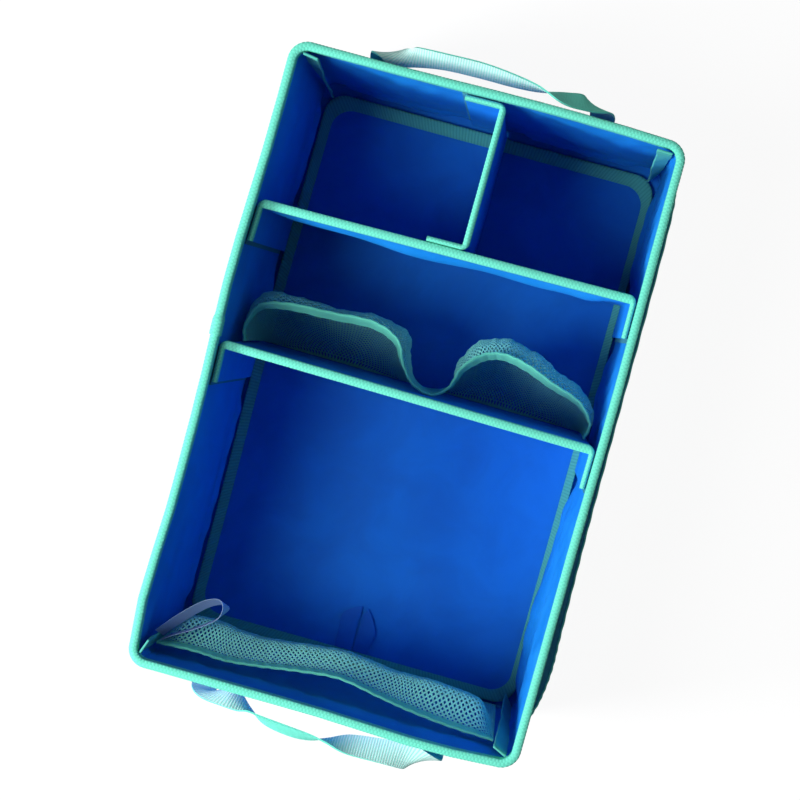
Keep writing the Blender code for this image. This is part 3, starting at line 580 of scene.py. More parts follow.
# %% Covers and linings
def make_walls():
    for wall in WALLS:
        runs = panel_runs(wall, 0.016)
        grid = [
            [wall_point(wall, run, CLOTH / 2 - 0.0001, height) for run in runs]
            for height in spread(WALL_LOW, CLOTH_TOP, 12)
        ]
        cover = thick_sheet(f"{wall}_wall_cover", grid, CLOTH, [BLUE])
        sew_in(cover, f"cover_{wall}", f"wall_board_{wall}")
        runs = panel_runs(wall, 0.006)
        inset = WALL_THICKNESS - CLOTH / 2
        grid = [
            [wall_point(wall, run, inset + looseness(wall, run, height), height) for run in runs]
            for height in spread(WALL_LOW, CLOTH_TOP, 38)
        ]
        lining = thick_sheet(f"{wall}_wall_lining", grid, CLOTH, [BLUE_LINING])
        sew_in(lining, f"lining_{wall}", f"wall_board_{wall}")


make_walls()


# %% [markdown]
# ## Tape round the rim
#
# A ribbed tape is folded over the top edge of all four walls. Its section is swept round the
# bag, and the last stretch lies over the first where the sewer finished. The ribs are real
# ridges, because they catch the light along the whole rim.


# %% Tape section and path
RIM_LEG = 0.0105
DIVIDER_LEG = 0.0100


def fold_section(half, top, leg, dome, steps=3):
    """Section of a tape folded over an edge: pairs of distance across and height."""
    corner = min(0.0012, 0.8 * half)
    side = [(half, top - dome - corner - leg), (half, top - dome - corner - 0.4 * leg)]
    arc = []
    for angle in spread(0, math.pi / 2, 2):
        level = top - dome - corner + corner * math.sin(angle)
        arc.append((half - corner + corner * math.cos(angle), level))
    crown = []
    for share in spread(0, 1, steps)[1:-1]:
        across = (half - corner) * (1 - 2 * share)
        rise = dome * (1 - (across / (half - corner)) ** 2)
        crown.append((across, top - dome + rise))
    right = side + arc
    left = [(-across, height) for across, height in reversed(right)]
    return right + crown + left


def section_normals(section):
    normals = []
    for index in range(len(section)):
        before = section[max(index - 1, 0)]
        after = section[min(index + 1, len(section) - 1)]
        along = Vector((after[0] - before[0], after[1] - before[1], 0)).normalized()
        normals.append((along.y, -along.x))
    return normals


def rim_path():
    """Stations round the rim: wall, run, lift and distance along."""
    lift = TAPE + GAP
    step = 0.00100
    path = []

    def stretch(wall, start, stop, lifted=False):
        count = max(2, round(abs(stop - start) / step))
        for run in spread(start, stop, count)[:-1]:
            share = smooth((run - (JOINT_AT - 0.008)) / 0.0065) if lifted else 0.0
            path.append((wall, run, lift * share))

    stretch("left", JOINT_AT, wall_reach("left"))
    for wall in ("near", "right", "far"):
        stretch(wall, -wall_reach(wall), wall_reach(wall))
    stretch("left", -wall_reach("left"), JOINT_AT - 0.010)
    stretch("left", JOINT_AT - 0.010, JOINT_AT + JOINT_OVERLAP, True)
    return path


def rib(distance, pitch, depth):
    return depth * (0.5 + 0.5 * math.cos(2 * math.pi * distance / pitch))


def folded_tape(name, section, stations, place):
    """Sweeps a folded tape along stations. Every other row of ribs starts half a rib later."""
    grid = []
    for index, ((across, height), (out, up)) in enumerate(zip(section, section_normals(section))):
        offset = RIB_PITCH / 2 * (index % 2)
        grid.append([place(station, across, height, out, up, offset) for station in stations])
    return thick_sheet(name, grid, TAPE, [TAPE_MINT])


def make_rim_tape():
    half = WALL_THICKNESS / 2 + GAP + TAPE / 2
    section = fold_section(half, BAG_HEIGHT - TAPE / 2 - RIB_DEPTH, RIM_LEG, 0.0007)
    path = rim_path()
    travelled = lengths([wall_point(wall, run, WALL_THICKNESS / 2, BAG_HEIGHT) for wall, run, _ in path])

    def place(station, across, height, out, up, offset):
        (wall, run, lift), distance = station
        raised = rib(distance + offset, RIB_PITCH, RIB_DEPTH) + lift
        slack = 0.00012 * ripple(distance * 40, height * 300, 1.0)
        inset = WALL_THICKNESS / 2 - across - (raised + slack) * out
        return wall_point(wall, run, inset, height + raised * up)

    tape = folded_tape("rim_tape", section, list(zip(path, travelled)), place)
    sew_in(tape, "rim_binding", "cover_left")


make_rim_tape()

# %% [markdown]
# ## Bound corner seams
#
# Where two walls meet, their raw edges turn into the bag and are bound with the same tape. The
# flap that this makes leans one way at the rim and another lower down.

# %% Corner seams
TOP_LEANS = {(-1, 1): 3, (1, 1): 0, (1, -1): 20, (-1, -1): 74}
SEAM_WIDTH = 0.016
SEAM_THICKNESS = 0.0026
SEAM_LOW_LEAN = math.radians(52)


def seam_point(side, end, across, height):
    """A point on a flap. Its lean is counted from straight across the bag."""
    top_lean = math.radians(TOP_LEANS[(side, end)])
    share = (height / BAG_HEIGHT) ** 1.5
    lean = SEAM_LOW_LEAN + (top_lean - SEAM_LOW_LEAN) * share
    middle = Vector((side * (BAG_WIDTH / 2 - CORNER_RADIUS), end * (BAG_LENGTH / 2 - CORNER_RADIUS), 0))
    turned = SEAM_THICKNESS / 2 * math.sin(abs(lean - math.pi / 4))
    under_rim = (GAP + TAPE) * smooth((height - 0.2745) / 0.0096)
    radius = CORNER_RADIUS - WALL_THICKNESS - 1.5 * GAP - turned - under_rim
    root = middle + Vector((side, end, 0)) * (radius * math.sqrt(0.5))
    inward = Vector((-side * math.cos(lean), -end * math.sin(lean), 0))
    wave = 0.0006 * math.sin(38 * height + across * 120) + 0.0004 * math.sin(90 * height + side)
    point = root + inward * across + Vector((inward.y, -inward.x, 0)) * wave
    return Vector((point.x, point.y, height))


def seam_row(side, end, across):
    row = []
    for height in spread(FLOOR_TOP + 0.003, BAG_HEIGHT - 0.003, 270):
        point = seam_point(side, end, across, height)
        heading = (seam_point(side, end, across + 0.001, height) - point).normalized()
        lift = rib(height, SEAM_PITCH, SHALLOW_RIB)
        row.append(point + Vector((heading.y, -heading.x, 0)) * lift)
    return row


def make_corner_seams():
    for side, end in TOP_LEANS:
        corner = f"{'far' if end > 0 else 'near'}_{'right' if side > 0 else 'left'}"
        grid = [seam_row(side, end, across) for across in spread(0.0008, SEAM_WIDTH, 4)]
        # The seam tape's darker colour is painted shade.
        seam = thick_sheet(f"{corner}_seam", grid, SEAM_THICKNESS - GAP, [SHADED_SEAM_TAPE])
        bevel = seam.modifiers.new("soft edge", "BEVEL")
        bevel.width = 0.0008
        bevel.segments = 2
        bevel.limit_method = "ANGLE"
        bevel.angle_limit = math.radians(60)
        settle(seam)
        sew_in(seam, f"corner_binding_{corner}", "cover_left")


make_corner_seams()


# %% [markdown]
# ## Loose floor board
#
# A board between two cloths, with a wide tape folded round its edge. The board doesn't lie quite
# in the middle, and its tape is widest at the far end.


# %% Floor board
ALONG_SHORT = 310
ALONG_LONG = 530
BOARD_LEFT = -0.1810
BOARD_RIGHT = 0.1845
BOARD_NEAR = -0.2980
BOARD_FAR = 0.2930
BOARD_RADIUS = 0.022
BAND_LEFT = 0.0115
BAND_RIGHT = 0.0090
BAND_NEAR = 0.0120
BAND_FAR = 0.0145
FOLD_RADIUS = 0.0012
CLOTH_INSET = 0.0022


def board_outline(share):
    """Points round the floor board, counter-clockwise, drawn in by a share of its tape's width."""
    left = BOARD_LEFT + share * BAND_LEFT + BOARD_RADIUS
    right = BOARD_RIGHT - share * BAND_RIGHT - BOARD_RADIUS
    near = BOARD_NEAR + share * BAND_NEAR + BOARD_RADIUS
    far = BOARD_FAR - share * BAND_FAR - BOARD_RADIUS
    middles = [Vector(spot) for spot in ((right, far), (left, far), (left, near), (right, near))]
    outline = []
    for turn, middle in enumerate(middles):
        for angle in spread(turn * math.pi / 2, (turn + 1) * math.pi / 2, 14):
            outline.append(middle + Vector((math.cos(angle), math.sin(angle))) * BOARD_RADIUS)
        angle = (turn + 1) * math.pi / 2
        stop = middles[(turn + 1) % 4] + Vector((math.cos(angle), math.sin(angle))) * BOARD_RADIUS
        start = outline[-1]
        count = ALONG_SHORT if turn % 2 == 0 else ALONG_LONG
        outline += [start.lerp(stop, step / count) for step in range(1, count)]
    return outline


def floor_bow(x, y):
    """The board's left side bows out a little."""
    return -0.0030 * bump(y, 0.05, 0.16) * smooth((-x - 0.10) / 0.08)


def make_floor_tape():
    middle = FLOOR_LOW + FLOOR_STACK / 2
    half = FLOOR_STACK / 2 - TAPE / 2
    arc = [
        (half - FOLD_RADIUS + FOLD_RADIUS * math.sin(angle), 0.03 + 0.08 * (1 - math.cos(angle)))
        for angle in spread(math.pi / 2, 0, 1)
    ]
    upper = [(half, 1.0), (half, 0.66), (half, 0.33)] + arc
    section = upper + [(-up, share) for up, share in reversed(upper)]
    travelled = lengths([point.to_3d() for point in board_outline(0.0)])
    grid = []
    for up, share in section:
        row = []
        for (x, y), distance in zip(board_outline(share), travelled):
            lift = rib(distance, RIB_PITCH, SHALLOW_RIB) if up > 0 else 0.0
            row.append(Vector((x + floor_bow(x, y), y, middle + up + lift)))
        grid.append(row)
    # The band's darker tape colour is painted shade.
    band = thick_sheet("floor_board_tape", grid, TAPE, [SHADED_FLOOR_TAPE], closed=True)
    sew_in(band, "floor_board_binding", "floor_board_core")


def make_floor_cloth():
    """The board's upper cloth, a little padded and slack inside its tape."""
    top = FLOOR_TOP - TAPE - GAP - 0.0004
    centre_x = (BOARD_LEFT + BOARD_RIGHT) / 2
    centre_y = (BOARD_NEAR + BOARD_FAR) / 2
    half_width = (BOARD_RIGHT - BOARD_LEFT) / 2 - CLOTH_INSET
    half_length = (BOARD_FAR - BOARD_NEAR) / 2 - CLOTH_INSET
    rows = []
    for v in spread(-1, 1, 90):
        row = []
        for u in spread(-1, 1, 60):
            x, y = square_to_rounded(u, v, half_width, half_length, BOARD_RADIUS)
            inside = smooth((half_width - 0.013 - abs(x)) / 0.03)
            inside *= smooth((half_length - 0.016 - abs(y)) / 0.03)
            swell = 0.0009 * inside * (1.0 + ripple(x * 22, y * 18, 0.7))
            row.append(Vector((x + centre_x, y + centre_y, top + swell)))
        rows.append(row)
    cloth = thick_sheet("floor_board_cloth", rows, 0.0008, [BLUE_FLOOR])
    sew_in(cloth, "floor_board_upper_cloth", "floor_board_core")


def square_to_rounded(u, v, half_width, half_length, radius):
    """Maps a square onto a rounded rectangle, so that a plain grid can fill it."""
    x = u * half_width
    y = v * half_length
    over_x = abs(x) - (half_width - radius)
    over_y = abs(y) - (half_length - radius)
    if over_x > 0 and over_y > 0:
        reach = max(over_x, over_y)
        size = math.hypot(over_x, over_y)
        scale = reach / size if size else 1.0
        x = math.copysign(half_width - radius + over_x * scale, x)
        y = math.copysign(half_length - radius + over_y * scale, y)
    return x, y


make_floor_tape()
make_floor_cloth()

# %% [markdown]
# ## Pull tab
#
# A strip of the same cloth, folded to a point and sewn under the floor tape, to lift the board.


# %% Pull tab
TAB_LEGS = {
    "left": (
        ((-0.0175, 0, 0), (-0.0185, 0.020, 0.0006), (-0.0185, 0.037, 0.0012), (-0.0080, 0.0465, 0.0016),
         (0.0005, 0.0500, 0.0018)),
        ((0.0008, 0, 0), (0.0006, 0.012, 0.0004), (0.0006, 0.024, 0.0006), (0.0008, 0.035, 0.0010),
         (0.0012, 0.0390, 0.0014)),
    ),
    "right": (
        ((0.0175, 0, 0.0002), (0.0200, 0.014, 0.0026), (0.0215, 0.025, 0.0042), (0.0150, 0.0390, 0.0036),
         (0.0075, 0.0490, 0.0026)),
        ((0.0022, 0, 0), (0.0026, 0.012, 0.0010), (0.0028, 0.024, 0.0016), (0.0028, 0.035, 0.0016),
         (0.0026, 0.0390, 0.0016)),
    ),
}


def tab_edge(spots):
    """Points of a leg's edge, from spots across, beyond the tape and above the board."""
    root = Vector((0, BOARD_NEAR + BAND_NEAR + GAP, FLOOR_TOP - TAPE + 0.0004))
    return [root + Vector(spot) for spot in spots]


def make_pull_tab():
    for name, (outer, inner) in TAB_LEGS.items():
        outer = tab_edge(outer)
        inner = tab_edge(inner)
        grid = []
        for share in spread(0, 1, 10):
            pillow = Vector((0, 0, 0.0008 * math.sin(math.pi * share) ** 0.6))
            row = [
                along_points(outer, step).lerp(along_points(inner, step), share) + pillow
                for step in spread(0, 1, 24)
            ]
            grid.append(row)
        leg = thick_sheet(f"pull_tab_{name}", grid, 0.0008, [BLUE_STRAP])
        sew_in(leg, "pull_tab", "floor_board_cloth")


make_pull_tab()

# %% [markdown]
# ## Dividers
#
# Each divider is a board between two cloths. The cloths run on past the board, turn along the
# walls as flaps and are held there by hook and loop strips. One tape binds the whole top edge,
# flaps included. The far divider's cloth is loose under its tape and stands out in waves.

# %% Divider shape
DIVIDERS = {
    "far_divider": {"at": 0.153, "skew": 0.012, "board": 0.0034, "billow": 0.0085, "span": 0.37},
    "near_divider": {"at": 0.008, "skew": -0.012, "board": 0.0034, "billow": 0.0, "span": 0.37},
    "small_divider": {"at": 0.015, "skew": 0.0, "board": 0.0012, "billow": 0.0, "span": 0.13},
}
FLAP_RUN = 0.032


def cloth_offset(divider):
    return DIVIDERS[divider]["board"] / 2 + GAP + CLOTH / 2


def cross_line(divider, p):
    return DIVIDERS[divider]["at"] + DIVIDERS[divider]["skew"] * p


def wall_face(wall, run, height):
    return wall_distance(wall) - WALL_THICKNESS + bow(wall, run, height)


def end_face(divider, end, q, height):
    """The place along a divider of the surface that its end is stuck to."""
    if divider == "small_divider":
        x = DIVIDERS[divider]["at"] - q
        if end > 0:
            return wall_face("far", -x, height)
        return cross_line("far_divider", x) + cloth_offset("far_divider") + CLOTH / 2
    y = cross_line(divider, end * INNER_WIDTH / 2) - q
    if end > 0:
        return wall_face("right", y, height)
    return -wall_face("left", -y, height)


def divider_to_bag(divider, p, q, height):
    if divider == "small_divider":
        return Vector((DIVIDERS[divider]["at"] - q, p, height))
    return Vector((p, cross_line(divider, p) - q, height))


def divider_stations(divider, spacing):
    """Places along a divider: a flap, its turn, the span between the walls, a turn and a flap."""
    turn = spread(0, 1, 7)
    flap = spread(0, 1, round(FLAP_RUN / spacing))
    span = spread(0, 1, round(DIVIDERS[divider]["span"] / spacing))
    stations = [("flap", -1, share) for share in flap[:-1]]
    stations += [("turn", -1, share) for share in turn]
    stations += [("span", 0, share) for share in span[1:-1]]
    stations += [("turn", 1, share) for share in reversed(turn)]
    stations += [("flap", 1, share) for share in reversed(flap[:-1])]
    return stations


def divider_line(divider, layer, station, height):
    """A point on one layer of a divider: its q, its distance off the walls and its turn's radius."""
    q_flat, off_wall, radius = layer
    kind, end, share = station
    turn_q = q_flat + radius

    def turn_start(side):
        return end_face(divider, side, turn_q, height) - side * (off_wall + radius)

    if kind == "flap":
        q = FLAP_LENGTH + (turn_q - FLAP_LENGTH) * share
        return divider_to_bag(divider, end_face(divider, end, q, height) - end * off_wall, q, height)
    if kind == "turn":
        angle = share * math.pi / 2
        p = turn_start(end) + end * radius * math.cos(angle)
        return divider_to_bag(divider, p, turn_q - radius * math.sin(angle), height)
    p = turn_start(-1) + (turn_start(1) - turn_start(-1)) * share
    fade = math.sin(math.pi * share) ** 0.5
    wave = 0.95 + 0.18 * math.sin(17 * share + 0.6) + 0.7 * bump(share, 0.90, 0.045)
    swell = DIVIDERS[divider]["billow"] * fade * wave * bump(height, DIVIDER_TOP - 0.034, 0.015)
    swell *= smooth((DIVIDER_TOP - 0.0125 - height) / 0.012)
    slack = 0.0003 * fade * smooth((0.268 - height) / 0.03) * (1 + ripple(p * 45, height * 20, q_flat * 900))
    sign = 1 if q_flat > 0 else -1
    return divider_to_bag(divider, p, q_flat + (swell if sign > 0 else 0) + sign * slack, height)


def outer_layer(divider, outwards):
    q = cloth_offset(divider) + outwards
    return (-q, STRIP_STACK + CLOTH / 2 - outwards, FLAP_TURN + outwards)


def inner_layer(divider, inwards):
    q = cloth_offset(divider) + inwards
    return (q, STRIP_STACK + CLOTH + GAP + CLOTH / 2 + inwards, FLAP_INNER_TURN - inwards)


# %% Divider cloths and tape
INSIDE_FLAPS = slice(60, -60)


def make_divider_tape(divider):
    clear = CLOTH / 2 + GAP + TAPE / 2
    outer = outer_layer(divider, clear)
    inner = inner_layer(divider, clear)
    top = DIVIDER_TOP - TAPE / 2 - RIB_DEPTH
    ends = [
        (divider_line(divider, outer, station, top), divider_line(divider, inner, station, top))
        for station in divider_stations(divider, 0.0010)
    ]
    half = max((outside - inside).length for outside, inside in ends[INSIDE_FLAPS]) / 2
    section = fold_section(half, top, DIVIDER_LEG, 0.0008)
    middles = [(outside + inside) / 2 for outside, inside in ends]

    def place(station, across, height, out, up, offset):
        (outside, _), middle, distance = station
        wide = (outside - middle).length / half
        heading = (outside - middle).normalized()
        raised = rib(distance + offset, RIB_PITCH, RIB_DEPTH)
        point = middle + heading * (across * wide + raised * out)
        return Vector((point.x, point.y, height + raised * up))

    tape = folded_tape(f"{divider}_tape", section, list(zip(ends, middles, lengths(middles))), place)
    sew_in(tape, f"{divider}_binding", f"{divider}_board")


def make_divider(divider):
    stations = divider_stations(divider, 0.006)
    heights = spread(DIVIDER_LOW, 0.23, 14) + spread(0.23, DIVIDER_TOP - 0.0022, 13)[1:]
    for side, layer in (("outer", outer_layer(divider, 0.0)), ("inner", inner_layer(divider, 0.0))):
        grid = []
        for height in heights:
            grid.append([divider_line(divider, layer, station, height) for station in stations])
        cloth = thick_sheet(f"{divider}_{side}", grid, CLOTH, [BLUE_LINING])
        sew_in(cloth, f"{divider}_{side}_cloth", f"{divider}_board")
    make_divider_tape(divider)


for divider_name in DIVIDERS:
    make_divider(divider_name)


# %% [markdown]
# ## Mesh pockets
#
# Each pocket is one piece of knitted mesh, sewn to its wall along the foot and the ends and
# held by an elastic hem at its mouth. The net is a sheet of diamonds in staggered rows, and
# Geometry Nodes open a hole in each. Real holes let light and the cloth behind show through.


# %% Hole maker
def hole_tree():
    """Opens a hole in every diamond of a sheet that isn't marked as an edge."""
    tree = bpy.data.node_groups.new("open the net", "GeometryNodeTree")
    tree.interface.new_socket(name="Geometry", in_out="INPUT", socket_type="NodeSocketGeometry")
    share = tree.interface.new_socket(name="Hole share", in_out="INPUT", socket_type="NodeSocketFloat")
    share.default_value = 0.6
    yarn = tree.interface.new_socket(name="Yarn", in_out="INPUT", socket_type="NodeSocketMaterial")
    tree.interface.new_socket(name="Geometry", in_out="OUTPUT", socket_type="NodeSocketGeometry")
    start = tree.nodes.new("NodeGroupInput")
    end = tree.nodes.new("NodeGroupOutput")
    edge = tree.nodes.new("GeometryNodeInputNamedAttribute")
    edge.data_type = "BOOLEAN"
    edge.inputs["Name"].default_value = "edge"
    inner = tree.nodes.new("FunctionNodeBooleanMath")
    inner.operation = "NOT"
    extrude = tree.nodes.new("GeometryNodeExtrudeMesh")
    extrude.mode = "FACES"
    extrude.inputs["Individual"].default_value = True
    extrude.inputs["Offset Scale"].default_value = 0.0
    shrink = tree.nodes.new("GeometryNodeScaleElements")
    drop = tree.nodes.new("GeometryNodeDeleteGeometry")
    drop.domain = "FACE"
    real = tree.nodes.new("GeometryNodeRealizeInstances")
    dress = tree.nodes.new("GeometryNodeSetMaterial")
    link = tree.links.new
    link(start.outputs["Geometry"], extrude.inputs["Mesh"])
    link(edge.outputs["Attribute"], inner.inputs[0])
    link(inner.outputs[0], extrude.inputs["Selection"])
    link(extrude.outputs["Mesh"], shrink.inputs["Geometry"])
    link(extrude.outputs["Top"], shrink.inputs["Selection"])
    link(start.outputs["Hole share"], shrink.inputs["Scale"])
    link(shrink.outputs["Geometry"], drop.inputs["Geometry"])
    link(extrude.outputs["Top"], drop.inputs["Selection"])
    link(drop.outputs["Geometry"], real.inputs["Geometry"])
    link(real.outputs["Geometry"], dress.inputs["Geometry"])
    link(start.outputs["Yarn"], dress.inputs["Material"])
    link(dress.outputs["Geometry"], end.inputs["Geometry"])
    return tree, share.identifier, yarn.identifier


HOLES, HOLE_SHARE, HOLE_YARN = hole_tree()


def net_mesh(name, columns, rows, place):
    """Staggered diamonds over a surface given by place(u, v), with half diamonds at its edges."""
    across = 2 * columns
    up = 2 * rows
    number = {}
    verts = []
    spots = []
    for j in range(up + 1):
        for i in range(across + 1):
            if (i + j) % 2 == 0 or i in (0, across) or j in (0, up):
                number[(i, j)] = len(verts)
                verts.append(place(i / across, j / up))
                spots.append((i / across, j / up))
    faces = []
    edges = []
    for j in range(up + 1):
        for i in range(across + 1):
            if (i + j) % 2:
                ring = ((i - 1, j), (i, j - 1), (i + 1, j), (i, j + 1))
                faces.append([number.get(spot, number.get((i, j))) for spot in ring])
                edges.append(i in (0, across) or j in (0, up))
    mesh = bpy.data.meshes.new(name)
    mesh.from_pydata(verts, [], faces)
    mesh.attributes.new("edge", "BOOLEAN", "FACE").data.foreach_set("value", edges)
    wide = lengths([place(share, 0.5) for share in spread(0, 1, 40)])[-1]
    tall = lengths([place(0.5, share) for share in spread(0, 1, 40)])[-1]
    layer = mesh.uv_layers.new(name="UVMap")
    for loop in mesh.loops:
        u, v = spots[loop.vertex_index]
        layer.data[loop.index].uv = (u * wide, v * tall)
    return mesh


def net_sheet(name, columns, rows, place, share, thickness, material):
    """A net over a surface, with a hole in every whole diamond."""
    piece = new_object(name, net_mesh(name, columns, rows, place))
    holes = piece.modifiers.new("holes", "NODES")
    holes.node_group = HOLES
    holes[HOLE_SHARE] = share
    holes[HOLE_YARN] = material
    settle(piece)
    piece["flat_area"] = sum(face.area for face in piece.data.polygons)
    along = [lengths([place(step, level) for step in spread(0, 1, 60)])[-1] for level in (0, 0.5, 1)]
    upwards = [lengths([place(level, step) for step in spread(0, 1, 30)])[-1] for level in (0.1, 0.5, 0.7)]
    piece["flat_length"] = max(along)
    piece["flat_width"] = max(upwards)
    thicken(piece, thickness, even=False)
    return piece


# %% Pocket shape
HEM_HEIGHT = 0.012
NET = 0.0005
PLAIN_POCKET = {
    "lean": 0.0,
    "swell": lambda share: 0.0,
    "swell_at": 0.100,
    "swell_above": 0.020,
    "swell_below": 0.020,
}


def pocket_fullness(share, belly):
    return math.sqrt(share) * (1 - belly * 0.2) + belly * (4 * share * (1 - share) * 0.45 + 0.2 * share)


def pocket_outwards(pocket, share):
    """The level direction straight out from a pocket's hem."""
    ahead = along_points(pocket["hem"], min(1.0, share + 0.004))
    behind = along_points(pocket["hem"], max(0.0, share - 0.004))
    heading = ahead - behind
    return Vector((-heading.y, heading.x, 0)).normalized()


def pocket_point(pocket, share, height):
    """A point on a pocket's mesh. The z of its hem points says how full the pocket is there."""
    low, high = pocket["low"], pocket["high"]
    level = max(0.0, min(1.0, (height - low) / (high - low)))
    foot = along_points(pocket["foot"], share)
    hem = along_points(pocket["hem"], share)
    place = foot + (hem - foot) * pocket_fullness(level, pocket["belly"])
    below_hem = (high - height) / HEM_HEIGHT
    leaning = pocket["lean"] * (below_hem if below_hem < 1 else 1 - smooth((below_hem - 1) / 1.3))
    tall = pocket["swell_above"] if height > pocket["swell_at"] else pocket["swell_below"]
    swelling = bump(height, pocket["swell_at"], tall) * pocket["swell"](share)
    gathered = smooth((below_hem - 0.9) / 1.5) * smooth(level / 0.25)
    pleats = pocket["gather"] * gathered * ripple(share * pocket["pleats"], level * 2.5, 0.9)
    shift = (swelling - leaning) * smooth(hem.z) + pleats * smooth(1.5 * hem.z)
    place += pocket_outwards(pocket, share) * shift
    return Vector((place.x, place.y, height))


def make_net(pocket, name, start, stop, columns):
    """One stretch of a pocket's net, from one share of its length to another."""
    low, high = pocket["low"], pocket["high"]

    def place(u, v):
        return pocket_point(pocket, start + (stop - start) * u, low + (high - 0.004 - low) * v)

    net = net_sheet(name, columns, pocket["rows"], place, pocket["hole"], NET, MESH)
    sew_in(net, f"{pocket['name']}_mesh", pocket["wall"])


def make_hem(pocket):
    """The elastic folded over the top edge of a pocket."""
    section = fold_section(0.0010, pocket["high"] - 0.0004, 0.0098, 0.0002, steps=2)
    shares = spread(0, 1, pocket["hem_steps"])
    grid = []
    for across, height in section:
        row = []
        for share in shares:
            point = pocket_point(pocket, share, height)
            puckers = 0.00025 * math.sin(share * pocket["hem_steps"] * 0.9)
            row.append(point + pocket_outwards(pocket, share) * (puckers - across))
        grid.append(row)
    hem = thick_sheet(f"{pocket['name']}_elastic", grid, 0.0006, [ELASTIC])
    sew_in(hem, f"{pocket['name']}_hem", pocket["wall"])


# %% The divider's two pockets
DIVIDER_HEM = [
    (-1.000, 0.000),
    (-1.020, 0.295),
    (-0.966, 0.672),
    (-0.807, 0.820),
    (-0.574, 0.869),
    (-0.318, 0.918),
    (-0.159, 0.738),
    (-0.097, 0.393),
    (-0.017, 0.115),
    (0.102, 0.000),
    (0.188, 0.230),
    (0.227, 0.590),
    (0.318, 0.885),
    (0.438, 1.000),
    (0.591, 0.934),
    (0.756, 0.754),
    (0.920, 0.590),
    (1.011, 0.295),
    (1.000, 0.000),
]
POCKET_END = INNER_WIDTH / 2 - 0.0122
POCKET_DEPTH = 0.061


def divider_pocket():
    line = "near_divider"
    face = cloth_offset(line) + CLOTH / 2 + GAP + 0.0005
    last = len(DIVIDER_HEM) - 1
    foot = [-POCKET_END + 2 * POCKET_END * index / last for index in range(last + 1)]
    hem = [(POCKET_END * along, max(0.0014, POCKET_DEPTH * out)) for along, out in DIVIDER_HEM]
    return {
        "name": "divider_pocket",
        "wall": "near_divider_board",
        "low": DIVIDER_LOW + 0.004,
        "high": BAG_HEIGHT - 0.095,
        "foot": [Vector((x, cross_line(line, x) + face, 0)) for x in foot],
        "hem": [Vector((x, cross_line(line, x) + face + out, out / POCKET_DEPTH)) for x, out in hem],
        "belly": 0.75,
        "lean": 0.0095,
        "swell": lambda share: 0.0085 * (1.0 - 1.3 * bump(share, 0.24, 0.08)),
        "swell_at": 0.164,
        "swell_above": 0.018,
        "swell_below": 0.018,
        "gather": 0.0016,
        "pleats": 95,
        "rows": 46,
        "hole": 0.62,
        "hem_steps": 260,
    }


both_pockets = divider_pocket()
make_net(both_pockets, "left_pocket_net", 0.0, 0.5, 55)
make_net(both_pockets, "right_pocket_net", 0.5, 1.0, 55)
make_hem(both_pockets)

# %% The near wall's pocket
NEAR_HEM = [
    (-1.006, 0.383),
    (-0.784, 0.447),
    (-0.608, 0.404),
    (-0.409, 0.574),
    (-0.188, 0.830),
    (0.040, 1.000),
    (0.284, 0.745),
    (0.460, 0.574),
    (0.710, 0.383),
    (0.955, 0.255),
]


def near_fullness(share):
    """How far the net bulges out below its elastic, most near the pocket's two ends."""
    ends = smooth(share / 0.07) * smooth((1 - share) / 0.07)
    return ends * (0.0200 + 0.0080 * bump(share, 0.14, 0.14) + 0.0100 * bump(share, 0.86, 0.16))


def near_pocket():
    face = GAP + 0.0005
    high = BAG_HEIGHT - 0.057
    hem = [(POCKET_END * along, 0.0235 * out) for along, out in NEAR_HEM]
    return {
        **PLAIN_POCKET,
        "name": "near_pocket",
        "wall": "wall_board_near",
        "low": 0.0016,
        "high": high,
        "foot": [Vector((x, face + 0.0005 - wall_face("near", x, 0), 0)) for x, _ in hem],
        "hem": [Vector((x, face + 0.0006 + out - wall_face("near", x, high), 1)) for x, out in hem],
        "belly": 0.35,
        "swell": near_fullness,
        "swell_at": 0.198,
        "swell_above": 0.022,
        "swell_below": 0.085,
        "gather": 0.0005,
        "pleats": 70,
        "rows": 44,
        "hole": 0.58,
        "hem_steps": 180,
    }


wall_pocket = near_pocket()
make_net(wall_pocket, "near_pocket_net", 0.0, 1.0, 76)
make_hem(wall_pocket)

# %% The pocket outside the right wall
OUTER_HEM = [
    (1.000, 0.10),
    (0.882, 0.42),
    (0.515, 0.50),
    (0.147, 0.50),
    (-0.184, 0.62),
    (-0.441, 0.78),
    (-0.662, 0.92),
    (-0.790, 1.00),
    (-0.901, 0.70),
    (-0.985, 0.10),
]


def outer_pocket():
    end = BAG_LENGTH / 2 - 0.0368
    low, high = 0.045, BAG_HEIGHT - 0.060
    hem = [(end * along, 0.0100 * out) for along, out in OUTER_HEM]

    def wall_x(y, height):
        return wall_distance("right") + bow("right", y, height) + GAP + 0.0005

    return {
        **PLAIN_POCKET,
        "name": "outer_pocket",
        "wall": "wall_board_right",
        "low": low,
        "high": high,
        "foot": [Vector((wall_x(y, low), y, 0)) for y, _ in hem],
        "hem": [Vector((wall_x(y, high) + out, y, 1)) for y, out in hem],
        "belly": 0.6,
        "gather": 0.0002,
        "pleats": 80,
        "rows": 25,
        "hole": 0.6,
        "hem_steps": 200,
    }


side_pocket = outer_pocket()
make_net(side_pocket, "outer_pocket_net", 0.0, 1.0, 72)
make_hem(side_pocket)


# %% [markdown]
# ## Care label loop
#
# A pale satin tape, sewn into the corner seam at both ends. It is left without print.


# %% Label loop
LABEL_ROUTE = [
    (-0.1750, -0.2880),
    (-0.1580, -0.2680),
    (-0.1395, -0.2500),
    (-0.1255, -0.2430),
    (-0.1190, -0.2465),
    (-0.1295, -0.2595),
    (-0.1475, -0.2728),
    (-0.1640, -0.2825),
    (-0.1740, -0.2898),
]
LABEL_LOW = 0.220
LABEL_WIDTH = 0.022


